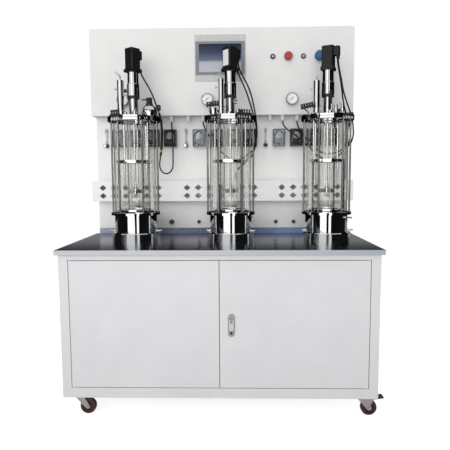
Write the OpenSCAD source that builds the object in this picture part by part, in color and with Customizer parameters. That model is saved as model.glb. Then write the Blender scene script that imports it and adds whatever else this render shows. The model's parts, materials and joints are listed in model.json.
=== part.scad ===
// Bench bioreactor: three stirred glass vessels on a cabinet on castors, with a rear
// housing for pumps and flowmeters, a hose rail and a control box.
// Millimetres. The origin is on the floor under the middle of the bench. +X is right,
// +Y is back and +Z is up.

/* [Bench] */
// Width of the worktop
top_w = 1500; // [1460:10:1800]
// Height of the worktop
top_z = 800; // [760:5:950]
// Depth of the free worktop, from its front edge to the upstand
work_d = 704; // [660:4:800]
// Depth of the rear housing behind the upstand
housing_d = 176; // [120:4:260]
// Height of the worktop's folded edge
top_edge = 22; // [15:1:40]
// Height of the upstand
upstand_h = 32; // [20:1:80]
// Thickness of the worktop's sheet
top_t = 1.5; // [1:0.5:3]
// Overhang of the worktop past the cabinet
overhang = 14; // [6:1:20]
// Thickness of the cabinet's sheet
cab_t = 2; // [1:0.5:4]

/* [Doors] */
// Width of the front frame beside the doors
stile_w = 43; // [30:1:80]
// Height of the front frame above the doors, under the worktop's edge
top_rail_h = 25; // [15:1:60]
// Height of the front frame below the doors
bottom_rail_h = 48; // [30:1:90]
// Gap around each door
door_gap = 3; // [2:0.5:6]
// Depth of a door pan
door_d = 20; // [16:1:30]
// Thickness of a door's sheet
door_t = 1.5; // [1:0.5:2.5]
// Where the doors meet, from the middle
door_split = 2.5; // [-40:0.5:40]
// Radius of a hinge pin
pin_r = 4; // [3:0.5:5]

/* [Latch] */
// Distance of the latch from where the doors meet
latch_in = 55; // [45:1:90]
// Distance of the latch's middle below the middle of the doors
latch_down = 1.5; // [0:0.5:80]
// Width of the latch plate
latch_w = 32; // [28:1:44]
// Length of the latch plate
latch_l = 108; // [100:1:140]
// Thickness of the latch plate
latch_t = 3; // [2:0.5:5]
// Reach of the latch's tongue past its spindle
tongue_l = 84; // [70:1:110]

/* [Castors] */
// Radius of a castor wheel
wheel_r = 37.5; // [34:0.5:46]
// Width of a castor wheel
wheel_w = 25; // [18:1:30]
// Distance of a wheel's axle behind its swivel pin
trail = 37; // [30:1:40]
// Gap between a wheel and the crown of its fork
crown_gap = 9.7; // [6:0.1:16]
// Distance of a swivel pin from the cabinet's side
castor_in = 66; // [52:1:120]
// Distance of a swivel pin from the front and the back of the bench
castor_end = 70; // [56:1:140]
// Radius of a wheel's axle
axle_r = 4; // [3:0.5:5]
// Length of a castor plate
plate_l = 96; // [80:1:110]
// Width of a castor plate
plate_w = 68; // [60:1:90]

/* [Rear housing and control box] */
// Distance of the rear housing's sides from those of the worktop
housing_in = 16.5; // [10:0.5:30]
// Distance of the control box's sides from those of the worktop
box_in = 13; // [8:0.5:30]
// Height of the control box's underside above the worktop
box_up = 678; // [670:2:760]
// Height of the control box
box_h = 476; // [440:2:600]
// Distance that the box and the rail stand out from the housing
front_step = 87; // [60:1:110]
// Thickness of the housing and box sheet
sheet_t = 2; // [1.5:0.5:4]

/* [Hose rail] */
// Distance of the rail's ends from the sides of the worktop
rail_in = 5; // [2:1:30]
// Height of the rail's underside above the worktop
rail_up = 194; // [150:2:230]
// Height of the rail
rail_h = 116; // [100:1:150]
// Pitch of the diamond holes
diamond_pitch = 64; // [54:1:70]
// Width of a diamond hole
diamond_w = 40; // [24:1:46]
// Height of a diamond hole
diamond_h = 34; // [20:1:38]

/* [Vessels] */
// Distance between neighbouring vessels
vessel_pitch = 515; // [490:1:530]
// Distance of the middle vessel from the bench's middle
vessel_shift = 51; // [0:1:60]
// Distance of the head plates from the rail
vessel_gap = 19.5; // [16:0.5:60]
// Outer radius of a glass vessel
glass_r = 110; // [100:1:134]
// Wall of a glass vessel
glass_t = 5; // [3:0.5:7]
// Length of a glass vessel
glass_l = 505; // [480:1:560]
// Distance that a base's foot stands out from the glass
foot_out = 19; // [16:1:30]
// Height of a base's foot
foot_h = 36; // [20:1:50]
// Height of a base's drum
drum_h = 94; // [70:1:140]
// Distance that the base clamp ring stands out from the glass
base_ring_out = 20; // [18:1:26]
// Height of the base clamp ring
base_ring_h = 13; // [8:1:20]
// Distance that the head plate and its clamp ring stand out from the glass
head_out = 27.5; // [24:0.5:32]
// Thickness of the head plate
head_t = 11; // [8:1:20]
// Thickness of the head's clamp ring
head_ring_t = 11; // [8:1:20]
// Radius of a tie rod
rod_r = 5; // [3:0.5:5.5]
// Distance of the tie rods from the glass
rod_out = 12; // [11:0.5:14]

/* [Stirrer] */
// Radius of the stirrer's shaft
shaft_r = 6; // [4:0.5:8]
// Radius over the turbine's blades
turbine_r = 43; // [30:1:50]
// Height of a turbine blade
blade_h = 20; // [12:1:26]
// Height of the turbine above the glass's foot
turbine_up = 125; // [90:1:160]
// Side of a motor's body
motor_a = 60; // [54:1:64]
// Length of a motor's body
motor_l = 108; // [90:1:150]
// Length of a condenser
condenser_l = 175; // [150:1:190]

/* [Pumps and flowmeters] */
// Pitch of the pumps in a group
pump_pitch = 100; // [90:1:104]
// Width of a pump
pump_w = 71; // [64:1:80]
// Height of a pump
pump_h = 98; // [92:1:110]
// Distance that a pump stands out from the housing
pump_d = 46; // [40:1:56]
// Height of the pumps' middle above the worktop
pump_up = 555; // [520:1:566]
// Radius of a pump's rotor over its rollers
rotor_r = 24; // [20:0.5:25]
// Distance of a flowmeter from its first pump
meter_gap = 76; // [66:1:90]
// Length of a flowmeter
meter_l = 108; // [100:1:140]

/* [Controls] */
// Radius of a pressure gauge
gauge_r = 31; // [24:1:40]
// Height of the gauges above the control box's underside
gauge_up = 84; // [60:1:110]
// Height of the row of buttons above the control box's underside
button_up = 317; // [270:1:360]
// Radius of the stop button's head
stop_r = 23; // [18:0.5:24]
// Radius of a button's stem
stem_r = 8; // [6:0.5:9]
// Travel of a button
travel = 6; // [3:0.5:8]

/* [Hidden] */
$fn = 48;
e = 0.01;             // a cut's overshoot
air = 0.3;            // gap between pieces that move past each other
fit = 0.05;           // radial clearance of a turning pin

y_front = -(work_d + housing_d) / 2;
y_back = -y_front;
wall_y = y_front + work_d;
face_y = wall_y - front_step;
cab_w = top_w - 2 * overhang;
cab_y = y_front + overhang;
cab_top = top_z - top_t;
housing_w = top_w - 2 * housing_in;
box_w = top_w - 2 * box_in;
box_z = top_z + box_up;
rail_w = top_w - 2 * rail_in;
rail_z = top_z + rail_up;

// castors
race_h = 6;
plate_t = 3;
crown_r = 27;
crown_h = 6;
crown_z = 2 * wheel_r + crown_gap;
cab_z = crown_z + crown_h + air + race_h + plate_t;
castor_x = cab_w / 2 - castor_in;
castor_y = y_back - castor_end;
kingpin_r = 5;
cheek_t = 2.5;
cheek_y = wheel_w / 2 + 3;
castor_at = [[-1, -1], [1, -1], [-1, 1], [1, 1]];
pedal_x = trail + 15;
pedal_z = crown_z - 3;
pedal_tip = 104;
pedal_pin_r = 3;

// door opening and doors
open_x = cab_w / 2 - stile_w;
open_z0 = cab_z + bottom_rail_h;
open_z1 = top_z - top_edge - top_rail_h;
return_d = 24;
pin_in = pin_r + 2;
pin_l = 12;
pin_x = open_x - door_gap - pin_in;

// latch
latch_x = door_split + latch_in;
latch_z = (open_z0 + open_z1) / 2 - latch_down;
spindle_r = 7;
spindle_z = latch_z + 26;
grip_t = 8;
grip_w = 20;
grip_l = 47;
grip_y = cab_y - latch_t - 1 - grip_t / 2;
head_w = 11;
tongue_t = 3;

// vessels
vessel_x = [for (i = [-1:1]) vessel_shift + i * vessel_pitch];
head_r = glass_r + head_out;
foot_r = glass_r + foot_out;
base_ring_r = glass_r + base_ring_out;
rod_circle = glass_r + rod_out;
vessel_y = face_y - head_r - vessel_gap;
base_top = top_z + foot_h + drum_h;
glass_top = base_top + glass_l;
base_wall = 8;
base_floor = 14;
nozzle_low = foot_h + 7;
nozzle_high = foot_h + drum_h - 15;
// turn, height and reach of each base's hose nozzles
nozzles = [[[180, nozzle_low, 34], [0, nozzle_low, 34], [-14, nozzle_high - 24, 18]],
    [[180, nozzle_low, 24], [-12, nozzle_low, 26], [0, nozzle_high, 12]],
    [[0, nozzle_low, 36], [180, nozzle_low, 24], [-35, nozzle_high, 36]]];
gasket_t = 2;
plate_z = glass_top + gasket_t;
lid_z = plate_z + head_t;
turbine_z = base_top + turbine_up;
rods = 6;
cage_r = glass_r - glass_t - 8;
cage_in = cage_r - 12;
cage_foot = base_top + 22;
cage_top = base_top + 290;
ring_low = 6;
ring_high = 14;
probe_r = 6;
probe_at = 64;
probe_turn = [20, 160];
dip_r = 4;
dip_at = 70;
dip_turn = [60, 120];
seal_low_h = 98;
seal_mid_z = lid_z + seal_low_h + 13;
seal_mid_h = 64;
seal_top_z = seal_mid_z + seal_mid_h + 60;
seal_knobs = [[180, 140, 9, 36, 14], [0, 84, 16.5, 24, 12], [90, 79, 10, 26, 12]];
motor_turn = [52, 41, -24];
motor_flange = 14;
plug_shift = 8;       // sideways shift of the first motor's plug
plug_x = motor_a / 2 + 20;
lead_r = 4;
lead_air = 1;         // a lead's clearance in its socket or gland
socket_r = 7;
plug_out = 28;
plug_h = 46;
plug_z = seal_top_z + motor_flange + motor_l - 4 - plug_h;
// each condenser's place, radius and how much shorter it is
condensers_at = [[-61, -29, 17.5, 0], [-46, -57, 13.5, 0], [-66, -47, 16, 14]];
goosenecks = [[36, 4], [17, 3.5]];
condenser_up = 12;
rim_gap = 9;          // gap between a side manifold's middle and the rim
side_r = head_r + rim_gap;
dome_r = 40;

// pumps, flowmeters and gauges
group_x = vessel_x - [136, 185, 238];
pump_z = top_z + pump_up;
pump_x = [for (g = group_x) for (i = [0:3]) g + i * pump_pitch];
pocket_d = 30;
rotor_pin_r = 4;
rotor_z = pump_z + 12;
meter_z = pump_z + 57 - meter_l;
meter_end = 20;
knob_r = 10;
knob_pin_r = 3;
knob_l = 18;
knob_z = meter_z + meter_end / 2;
knob_dx = -4;
meter_a = 22;
gauge_x = group_x + [47, 55, 65];
gauge_z = box_z + gauge_up;
gauge_d = 30;
stud_r = 7;

// controls
button_z = box_z + button_up;
panel_x = -6;
panel_z = button_z - 5;
panel_w = 284;
panel_h = 254;
bezel_w = 274;
bezel_h = 178;
screen_w = 236;
screen_h = 152;
panel_in_w = 250;
panel_in_h = 150;
key_x = [287, 456];
stop_x = 372;
blue_x = 545;
blue_r = 28;
barrel_r = 7;
collar_r = 14;
collar_t = 6;

// glands and ports
gland_y = face_y + 25;
gland_x = [-286, -190, -106, 274, 345, 427];
gland_r = 11;
gland_l = 28;
port_z = top_z + 68;
port_x = [-301, -140, 314, 418];
port_r = 9;
rail_gland = [80, face_y + 39];

// hose rail: first column and number of columns of each group of holes
diamond_sets = [[-684, 6], [-200, 7], [341, 6]];
diamond_rows = [rail_z + 31, rail_z + 77];

// leads from the motors to their glands, as points along each cord's middle
lead_1 = [[-439.5, 64.3, 1750], [-439.5, 64.3, 1728], [-432, 66, 1692], [-411, 69, 1650],
    [-389, 74, 1612], [-371, 80, 1572], [-355, 87, 1526], [-339, 92, 1478], [-329, 96, 1430],
    [-326, 98, 1370], [-330, 102, 1300], [-339, 106, 1240], [-344, 109, 1198], [-339, 113, 1174],
    [-327, 124, 1157], [-311, 139, 1151], [-295, 153, 1157], [-283, 164, 1174],
    [-278, 168, 1198], [-277, 171, 1250], [-277, 176, 1310], [-280, 185, 1362],
    [-284, 195, 1404], [-286, 201, 1432], [-286, 202, 1448], [-286, 202, 1462]];
lead_2 = [[94, 47, 1750], [94, 47, 1728], [102, 51, 1698], [121, 58, 1662], [143, 66, 1622],
    [160, 73, 1580], [173, 81, 1535], [183, 87, 1488], [191, 92, 1440], [196, 98, 1390],
    [193, 107, 1332], [180, 119, 1288], [154, 134, 1254], [114, 149, 1230], [68, 158, 1226],
    [18, 164, 1252], [-28, 171, 1302], [-66, 182, 1358], [-94, 195, 1406], [-105, 201, 1432],
    [-106, 202, 1448], [-106, 202, 1462]];
lead_3 = [[84, 59, 1750], [84, 59, 1728], [89, 63, 1698], [104, 70, 1660], [124, 78, 1620],
    [141, 85, 1580], [156, 92, 1535], [171, 99, 1488], [185, 105, 1438], [194, 112, 1380],
    [190, 122, 1310], [172, 138, 1254], [144, 156, 1216], [114, 174, 1192], [92, 194, 1172],
    [82, 210, 1150], [80, 216, 1130], [80, 216, 1114]];
lead_4 = [[608, -8, 1750], [608, -8, 1728], [614, -3, 1694], [628, 13, 1640], [643, 38, 1584],
    [655, 62, 1536], [669, 83, 1494], [687, 98, 1452], [702, 106, 1405], [708, 112, 1350],
    [697, 124, 1296], [662, 140, 1250], [606, 155, 1228], [548, 163, 1240], [500, 167, 1280],
    [456, 172, 1328], [412, 181, 1366], [375, 192, 1394], [353, 200, 1420], [346, 202, 1444],
    [345, 202, 1464]];
lead_5 = [[615, 7, 1750], [615, 7, 1728], [621, 12, 1694], [636, 26, 1640], [652, 46, 1584],
    [671, 64, 1538], [691, 78, 1494], [709, 89, 1450], [719, 97, 1400], [722, 105, 1352],
    [710, 125, 1306], [668, 147, 1273], [606, 162, 1256], [552, 170, 1270], [504, 175, 1310],
    [466, 183, 1356], [440, 194, 1398], [429, 201, 1428], [427, 202, 1446], [427, 202, 1464]];

function bend(a, b, c, d, t) = 0.5 * (2 * b + (c - a) * t + (2 * a - 5 * b + 4 * c - d) * t * t
    + (3 * b - a - 3 * c + d) * t * t * t);
function smooth(p, n) = let (m = len(p) - 1) [
    for (i = [0:m - 1]) for (j = [0:n - 1])
        bend(p[max(i - 1, 0)], p[i], p[i + 1], p[min(i + 2, m)], j / n),
    p[m]];
function unit(v) = v / norm(v);

// A round cord of radius r along the points p.
module cord(p, r) {
    sides = 8;
    q = smooth(p, 3);
    m = len(q) - 1;
    rings = [for (i = [0:m])
        let (t = unit(q[min(i + 1, m)] - q[max(i - 1, 0)]),
            u = unit(cross(t, [0, 1, 0])),
            v = cross(t, u))
        for (k = [0:sides - 1]) q[i] + r * (cos(360 * k / sides) * u + sin(360 * k / sides) * v)];
    quads = [for (i = [0:m - 1]) for (k = [0:sides - 1])
        let (a = i * sides + k, b = i * sides + (k + 1) % sides)
        each [[a, b, b + sides], [a, b + sides, a + sides]]];
    ends = [[for (k = [sides - 1:-1:0]) k], [for (k = [0:sides - 1]) m * sides + k]];
    polyhedron(rings, concat(quads, ends), convexity = 10);
}

module block(x0, x1, y0, y1, z0, z1) {
    translate([x0, y0, z0]) cube([x1 - x0, y1 - y0, z1 - z0]);
}

// A cylinder along +Y from y.
module rod_y(x, y, z, r, l) {
    translate([x, y, z]) rotate([-90, 0, 0]) cylinder(r = r, h = l);
}

module rod_z(x, y, z, r, l) {
    translate([x, y, z]) cylinder(r = r, h = l);
}

// A shell of sheet thickness t, closed on all sides.
module shell(x0, x1, y0, y1, z0, z1, t) {
    difference() {
        block(x0, x1, y0, y1, z0, z1);
        block(x0 + t, x1 - t, y0 + t, y1 - t, z0 + t, z1 - t);
    }
}

// An upright oval plate in the XZ plane, from y to y + t.
module oval(x, y, z, w, l, t) {
    for (s = [-1, 1]) rod_y(x, y, z + s * (l - w) / 2, w / 2, t);
    block(x - w / 2, x + w / 2, y, y + t, z - (l - w) / 2, z + (l - w) / 2);
}

module at_vessels() {
    for (i = [0:2]) translate([vessel_x[i], vessel_y, 0]) {
        $vessel = i;
        children();
    }
}

module around(n, r, start = 0) {
    for (i = [0:n - 1]) rotate(start + 360 * i / n) translate([r, 0, 0]) children();
}

// ---- cabinet

module cabinet_body() {
    color([0.88, 0.89, 0.89]) {
        difference() {
            shell(-cab_w / 2, cab_w / 2, cab_y, y_back, cab_z, cab_top, cab_t);
            block(-open_x, open_x, cab_y - e, cab_y + cab_t + e, open_z0, open_z1);
        }
        difference() {
            block(-open_x - cab_t, open_x + cab_t, cab_y + cab_t, cab_y + return_d,
                open_z0 - cab_t, open_z1 + cab_t);
            block(-open_x, open_x, cab_y, cab_y + return_d + e, open_z0, open_z1);
        }
        for (s = [-1, 1]) {
            rod_z(s * pin_x, cab_y + pin_in, open_z0, pin_r, door_gap + pin_l);
            rod_z(s * pin_x, cab_y + pin_in, open_z1 - door_gap - pin_l, pin_r, door_gap + pin_l);
        }
    }
}

// A folded door pan from x0 to x1, with a bored block for a hinge pin at each corner at side s.
module door_pan(x0, x1, s) {
    z0 = open_z0 + door_gap;
    z1 = open_z1 - door_gap;
    difference() {
        union() {
            difference() {
                block(x0, x1, cab_y, cab_y + door_d, z0, z1);
                block(x0 + door_t, x1 - door_t, cab_y + door_t, cab_y + door_d + e,
                    z0 + door_t, z1 - door_t);
            }
            for (z = [z0, z1 - pin_l - 4])
                block(s * pin_x - pin_in, s * pin_x + pin_in, cab_y, cab_y + 2 * pin_in, z,
                    z + pin_l + 4);
        }
        rod_z(s * pin_x, cab_y + pin_in, z0 - e, pin_r + fit, pin_l + air);
        rod_z(s * pin_x, cab_y + pin_in, z1 - pin_l - air, pin_r + fit, pin_l + air + e);
    }
}

module left_door() {
    color([0.88, 0.89, 0.89])
    door_pan(-open_x + door_gap, door_split - door_gap / 2, -1);
}

module right_door() {
    color([0.88, 0.89, 0.89])
    difference() {
        door_pan(door_split + door_gap / 2, open_x - door_gap, 1);
        oval(latch_x, cab_y - e, latch_z, latch_w - 8, latch_l - 20, door_t + 2 * e);
    }
}

module latch_plate() {
    color([0.72, 0.72, 0.73]) {
        difference() {
            union() {
                oval(latch_x, cab_y - latch_t, latch_z, latch_w, latch_l, latch_t);
                oval(latch_x, cab_y, latch_z, latch_w - 9, latch_l - 21, 14);
            }
            rod_y(latch_x, cab_y - latch_t - e, spindle_z, spindle_r + fit, latch_t + 14 + 2 * e);
        }
        rod_y(latch_x, cab_y - latch_t - 4, latch_z - 36, 6, 5);
    }
}

module latch_spindle() {
    z = spindle_z;
    tongue_y = cab_y + door_d + 1;
    color([0.62, 0.62, 0.63]) {
        rod_y(latch_x, cab_y - latch_t - air, z, spindle_r, door_d + latch_t + tongue_t + air + 1);
        difference() {
            block(latch_x - head_w / 2, latch_x + head_w / 2, grip_y - 4, cab_y - latch_t - air,
                z - 7, z + 7);
            translate([latch_x - head_w, grip_y, z]) rotate([0, 90, 0])
            cylinder(r = 2 + fit, h = 2 * head_w);
        }
        block(latch_x - 8, latch_x + 8, tongue_y, tongue_y + tongue_t, z - tongue_l, z + 9);
    }
}

module latch_handle() {
    z = spindle_z;
    color([0.72, 0.72, 0.73]) {
        translate([latch_x - grip_w / 2, grip_y, z]) rotate([0, 90, 0])
        cylinder(r = 2, h = grip_w);
        for (s = [-1, 1])
            translate([latch_x + s * (grip_w / 2 + head_w / 2 + air) / 2, grip_y, z])
            rotate([0, 90, 0])
            cylinder(r = grip_t / 2, h = (grip_w - head_w) / 2 - air, center = true);
        difference() {
            block(latch_x - grip_w / 2, latch_x + grip_w / 2, grip_y - grip_t / 2,
                grip_y + grip_t / 2, z - grip_l, z);
            block(latch_x - head_w / 2 - air, latch_x + head_w / 2 + air,
                grip_y - grip_t, grip_y + grip_t, z - 13, z + e);
        }
    }
}

module worktop() {
    x = top_w / 2;
    color([0.55, 0.57, 0.60]) {
        block(-x, x, y_front, wall_y, top_z - top_t, top_z);
        block(-x, x, y_front, y_front + top_t, top_z - top_edge, top_z);
        for (s = [0, 1])
            block(s * (top_w - top_t) - x, s * (top_w - top_t) - x + top_t, y_front, wall_y,
                top_z - top_edge, top_z);
        block(-housing_w / 2, housing_w / 2, wall_y - top_t, wall_y, top_z - top_t,
            top_z + upstand_h);
    }
}

// ---- castors: 1 and 2 in front, left and right, then 3 and 4 behind

module at_castor(i) {
    translate([castor_at[i][0] * castor_x, castor_at[i][1] * castor_y, 0]) children();
}

module castor_plates() {
    color([0.70, 0.71, 0.72])
    for (i = [0:3]) at_castor(i) {
        block(-plate_l / 2, plate_l / 2, -plate_w / 2, plate_w / 2, cab_z - plate_t, cab_z);
        rod_z(0, 0, crown_z + crown_h + air, crown_r, race_h);
        rod_z(0, 0, crown_z - air, kingpin_r, crown_h + 2 * air + e);
        rod_z(0, 0, crown_z - air - 3, kingpin_r + 4, 3);
    }
}

module cheek() {
    linear_extrude(cheek_t) {
        polygon([[-20, crown_z], [20, crown_z], [trail + 10, wheel_r + 5], [trail - 8, wheel_r - 8]]);
        translate([trail, wheel_r]) circle(r = 11);
    }
}

// The pedal's bracket on a cheek.
module pedal_ear() {
    linear_extrude(cheek_t) {
        polygon([[8, crown_z], [8, crown_z - 12], [trail + 4, wheel_r + 10],
            [pedal_x + 5, pedal_z - 4], [pedal_x, pedal_z + 7], [20, crown_z + 2]]);
        translate([pedal_x, pedal_z]) circle(r = 7);
    }
}

module castor_fork(i) {
    braked = i == 1;
    color([0.62, 0.63, 0.64])
    at_castor(i) {
        difference() {
            rod_z(0, 0, crown_z, crown_r, crown_h);
            rod_z(0, 0, crown_z - e, kingpin_r + fit, crown_h + 2 * e);
        }
        for (s = [-1, 1])
            translate([0, s > 0 ? cheek_y + cheek_t : -cheek_y, 0]) rotate([90, 0, 0]) {
                cheek();
                if (braked) pedal_ear();
            }
        rod_y(trail, -cheek_y - cheek_t - 4, wheel_r, axle_r, 2 * (cheek_y + cheek_t + 4));
        for (y = [-cheek_y - cheek_t - 4, cheek_y + cheek_t]) rod_y(trail, y, wheel_r, 7, 4);
        if (braked)
            rod_y(pedal_x, -cheek_y - cheek_t, pedal_z, pedal_pin_r, 2 * (cheek_y + cheek_t));
    }
}

module castor_wheel(i) {
    w = wheel_w / 2;
    round = 4;
    color([0.23, 0.11, 0.10])
    at_castor(i) translate([trail, 0, wheel_r]) rotate([90, 0, 0])
    rotate_extrude($fn = 72) {
        difference() {
            union() {
                translate([axle_r + fit, -w - 1.5]) square([8, 2 * w + 3]);
                translate([axle_r + fit, -w + 6]) square([wheel_r - axle_r - 4, 2 * w - 12]);
                translate([wheel_r - 13, -w]) square([13 - round, 2 * w]);
                translate([wheel_r - 13, -w + round]) square([13, 2 * w - 2 * round]);
                for (s = [-1, 1]) translate([wheel_r - round, s * (w - round)]) circle(r = round);
            }
            translate([-2 * wheel_r, -wheel_w]) square([2 * wheel_r + axle_r + fit, 2 * wheel_w]);
        }
    }
}

module brake_pedal() {
    half = cheek_y - air;
    color([0.07, 0.07, 0.07])
    at_castor(1) difference() {
        union() {
            rod_y(pedal_x, -half, pedal_z, 6, 2 * half);
            rotate([90, 0, 0]) {
                translate([0, 0, -half]) linear_extrude(2 * half)
                polygon([[pedal_x, pedal_z - 6], [pedal_x + 12, pedal_z - 1],
                    [pedal_x + 12, pedal_z + 5], [pedal_x, pedal_z + 6]]);
                translate([0, 0, -half - 6]) linear_extrude(2 * half + 12)
                polygon([[pedal_x + 10, pedal_z - 1], [pedal_tip, pedal_z + 6],
                    [pedal_tip, pedal_z + 10], [pedal_x + 10, pedal_z + 5]]);
            }
            translate([pedal_x, 0, pedal_z]) rotate([0, 12, 0]) block(-2, 2, -8, 8, -8, 0);
        }
        rod_y(pedal_x, -half - e, pedal_z, pedal_pin_r + fit, 2 * half + 2 * e);
    }
}

// ---- rear housing, control box and hose rail

module rear_housing() {
    color([0.87, 0.87, 0.86])
    difference() {
        shell(-housing_w / 2, housing_w / 2, wall_y, y_back, cab_top, box_z, sheet_t);
        for (x = pump_x) rod_y(x, wall_y - e, pump_z, 25 + air, sheet_t + 2 * e);
        for (x = port_x) rod_y(x, wall_y - e, port_z, port_r + air, sheet_t + 2 * e);
    }
}

module control_box() {
    color([0.87, 0.87, 0.86])
    difference() {
        shell(-box_w / 2, box_w / 2, face_y, y_back, box_z, box_z + box_h, sheet_t);
        block(panel_x - panel_in_w / 2 - 1, panel_x + panel_in_w / 2 + 1, face_y - e,
            face_y + sheet_t + e, panel_z - panel_in_h / 2 - 1, panel_z + panel_in_h / 2 + 1);
        for (x = concat(key_x, [stop_x, blue_x]))
            rod_y(x, face_y - e, button_z, stem_r + 2, sheet_t + 2 * e);
        for (x = gauge_x) rod_y(x, face_y - e, gauge_z, stud_r + air, sheet_t + 2 * e);
        for (x = gland_x) rod_z(x, gland_y, box_z - e, lead_r + 3, sheet_t + 2 * e);
    }
}

module hose_rail() {
    x = rail_w / 2;
    color([0.90, 0.90, 0.89])
    difference() {
        block(-x, x, face_y, wall_y, rail_z, rail_z + rail_h);
        block(-x + sheet_t, x - sheet_t, face_y + sheet_t, wall_y + e, rail_z + sheet_t,
            rail_z + rail_h - sheet_t);
        for (set = diamond_sets) for (i = [0:set[1] - 1]) for (z = diamond_rows)
            translate([set[0] + i * diamond_pitch, face_y + sheet_t + e, z]) rotate([90, 0, 0])
            linear_extrude(sheet_t + 2 * e)
            polygon([[-diamond_w / 2, 0], [0, -diamond_h / 2], [diamond_w / 2, 0],
                [0, diamond_h / 2]]);
        rod_z(rail_gland[0], rail_gland[1], rail_z + rail_h - sheet_t - e, lead_r + 3,
            sheet_t + 2 * e);
    }
}

module touch_panel() {
    w = bezel_w / 2;
    h = bezel_h / 2;
    color([0.55, 0.56, 0.58])
    translate([panel_x, 0, panel_z]) {
        difference() {
            block(-panel_w / 2, panel_w / 2, face_y - 2, face_y, -panel_h / 2, panel_h / 2);
            block(-w + 2, w - 2, face_y - 3, face_y + 1, -h + 2, h - 2);
        }
        difference() {
            block(-w, w, face_y - 8, face_y, -h, h);
            block(-screen_w / 2, screen_w / 2, face_y - 9, face_y - 6, -screen_h / 2, screen_h / 2);
        }
        block(-panel_in_w / 2, panel_in_w / 2, face_y - 2, face_y + 46, -panel_in_h / 2,
            panel_in_h / 2);
    }
}

// ---- vessels

module vessel_bases() {
    drum_r = glass_r + 1.5;
    in_r = drum_r - base_wall;
    color([0.60, 0.61, 0.62])
    at_vessels() translate([0, 0, top_z]) {
        rotate_extrude($fn = 96) polygon([[0, foot_h + drum_h - base_floor],
            [in_r, foot_h + drum_h - base_floor], [in_r, 0], [foot_r, 0], [foot_r, foot_h - 3],
            [foot_r - 3, foot_h], [drum_r, foot_h], [drum_r, foot_h + drum_h],
            [0, foot_h + drum_h]]);
        for (n = nozzles[$vessel]) rotate(n[0]) translate([drum_r - 4, 0, n[1]])
            rotate([0, 90, 0]) {
                cylinder(r = 4, h = n[2]);
                cylinder(r = 7, h = 9);
                translate([0, 0, n[2] - 6]) cylinder(r = 5, h = 4);
            }
    }
}

module glass_vessels() {
    color([0.80, 0.86, 0.88, 0.4])
    at_vessels() translate([0, 0, base_top]) rotate_extrude($fn = 96)
    translate([glass_r - glass_t, 0]) square([glass_t, glass_l]);
}

// The head plates, and the clamp rings round the top and foot of the glass.
module head_plates() {
    ring_in = glass_r + air;
    color([0.70, 0.71, 0.72])
    at_vessels() {
        difference() {
            rod_z(0, 0, plate_z, head_r, head_t);
            rod_z(0, 0, plate_z - e, shaft_r + 2, head_t + 2 * e);
            for (a = probe_turn) rotate(a)
                rod_z(probe_at, 0, plate_z - e, probe_r + air / 2, head_t + 2 * e);
            for (a = dip_turn) rotate(a)
                rod_z(dip_at, 0, plate_z - e, dip_r + air / 2, head_t + 2 * e);
        }
        translate([0, 0, glass_top - head_ring_t]) rotate_extrude($fn = 96)
        translate([ring_in, 0]) square([head_r - ring_in, head_ring_t]);
        translate([0, 0, base_top]) rotate_extrude($fn = 96)
        translate([ring_in, 0]) square([base_ring_r - ring_in, base_ring_h]);
    }
}

module head_gaskets() {
    color([0.12, 0.12, 0.12])
    at_vessels() translate([0, 0, glass_top]) rotate_extrude($fn = 96)
    translate([glass_r - glass_t - 1, 0]) square([glass_t + 16, gasket_t]);
}

// The rods between the two clamp rings, and the cap nuts on the head plate.
module tie_rods() {
    foot = base_top + base_ring_h;
    color([0.78, 0.79, 0.80])
    at_vessels() {
        around(rods, rod_circle) rod_z(0, 0, foot, rod_r, glass_top - head_ring_t - foot);
        around(rods, rod_circle) {
            translate([0, 0, lid_z]) cylinder(r = 8, h = 7, $fn = 6);
            rod_z(0, 0, lid_z + 7, 6, 4);
        }
    }
}

// Each cage: a ring above and below, four baffle strips between them and three hangers.
module baffle_cages() {
    low = cage_foot + ring_low;
    high = cage_top - ring_high;
    color([0.72, 0.73, 0.74])
    at_vessels() {
        cage_ring(cage_foot, ring_low);
        cage_ring(high, ring_high);
        around(4, 0) block(cage_in - 8, cage_r, -1, 1, low + air, high - air);
        around(3, (cage_in + cage_r) / 2, 90)
            rod_z(0, 0, cage_top + air, 4, plate_z - cage_top - air);
    }
}

module cage_ring(z, h) {
    translate([0, 0, z]) rotate_extrude($fn = 96)
    translate([cage_in, 0]) square([cage_r - cage_in, h]);
}

module seal_housings() {
    h = seal_top_z - lid_z;
    mid = seal_mid_z - lid_z;
    low = mid - 13;
    color([0.75, 0.75, 0.76])
    at_vessels() translate([0, 0, lid_z]) {
        rotate_extrude($fn = 72) polygon([[shaft_r + fit, 0], [33, 0], [33, 8], [22, 8], [22, low],
            [32, low], [32, mid - 1], [30, mid], [32.3, mid + 1], [32.3, mid + seal_mid_h - 3],
            [28.5, mid + seal_mid_h], [28.5, h], [20, h], [20, mid + seal_mid_h],
            [shaft_r + fit, mid + seal_mid_h], [shaft_r + fit, mid + seal_mid_h - 20],
            [16, mid + seal_mid_h - 20], [16, 16], [shaft_r + fit, 16]]);
        around(6, 28) rod_z(0, 0, 8, 3, 5);
        seal_knob(seal_knobs[$vessel]);
    }
}

// A knob on the side of a seal housing: angle, height, radius, where it starts and its length.
module seal_knob(k) {
    rotate(k[0]) translate([k[3] - 8, 0, k[1]]) rotate([0, 90, 0]) {
        cylinder(r = 4, h = 9);
        translate([0, 0, 8]) cylinder(r = k[2], h = k[4]);
    }
}

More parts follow.
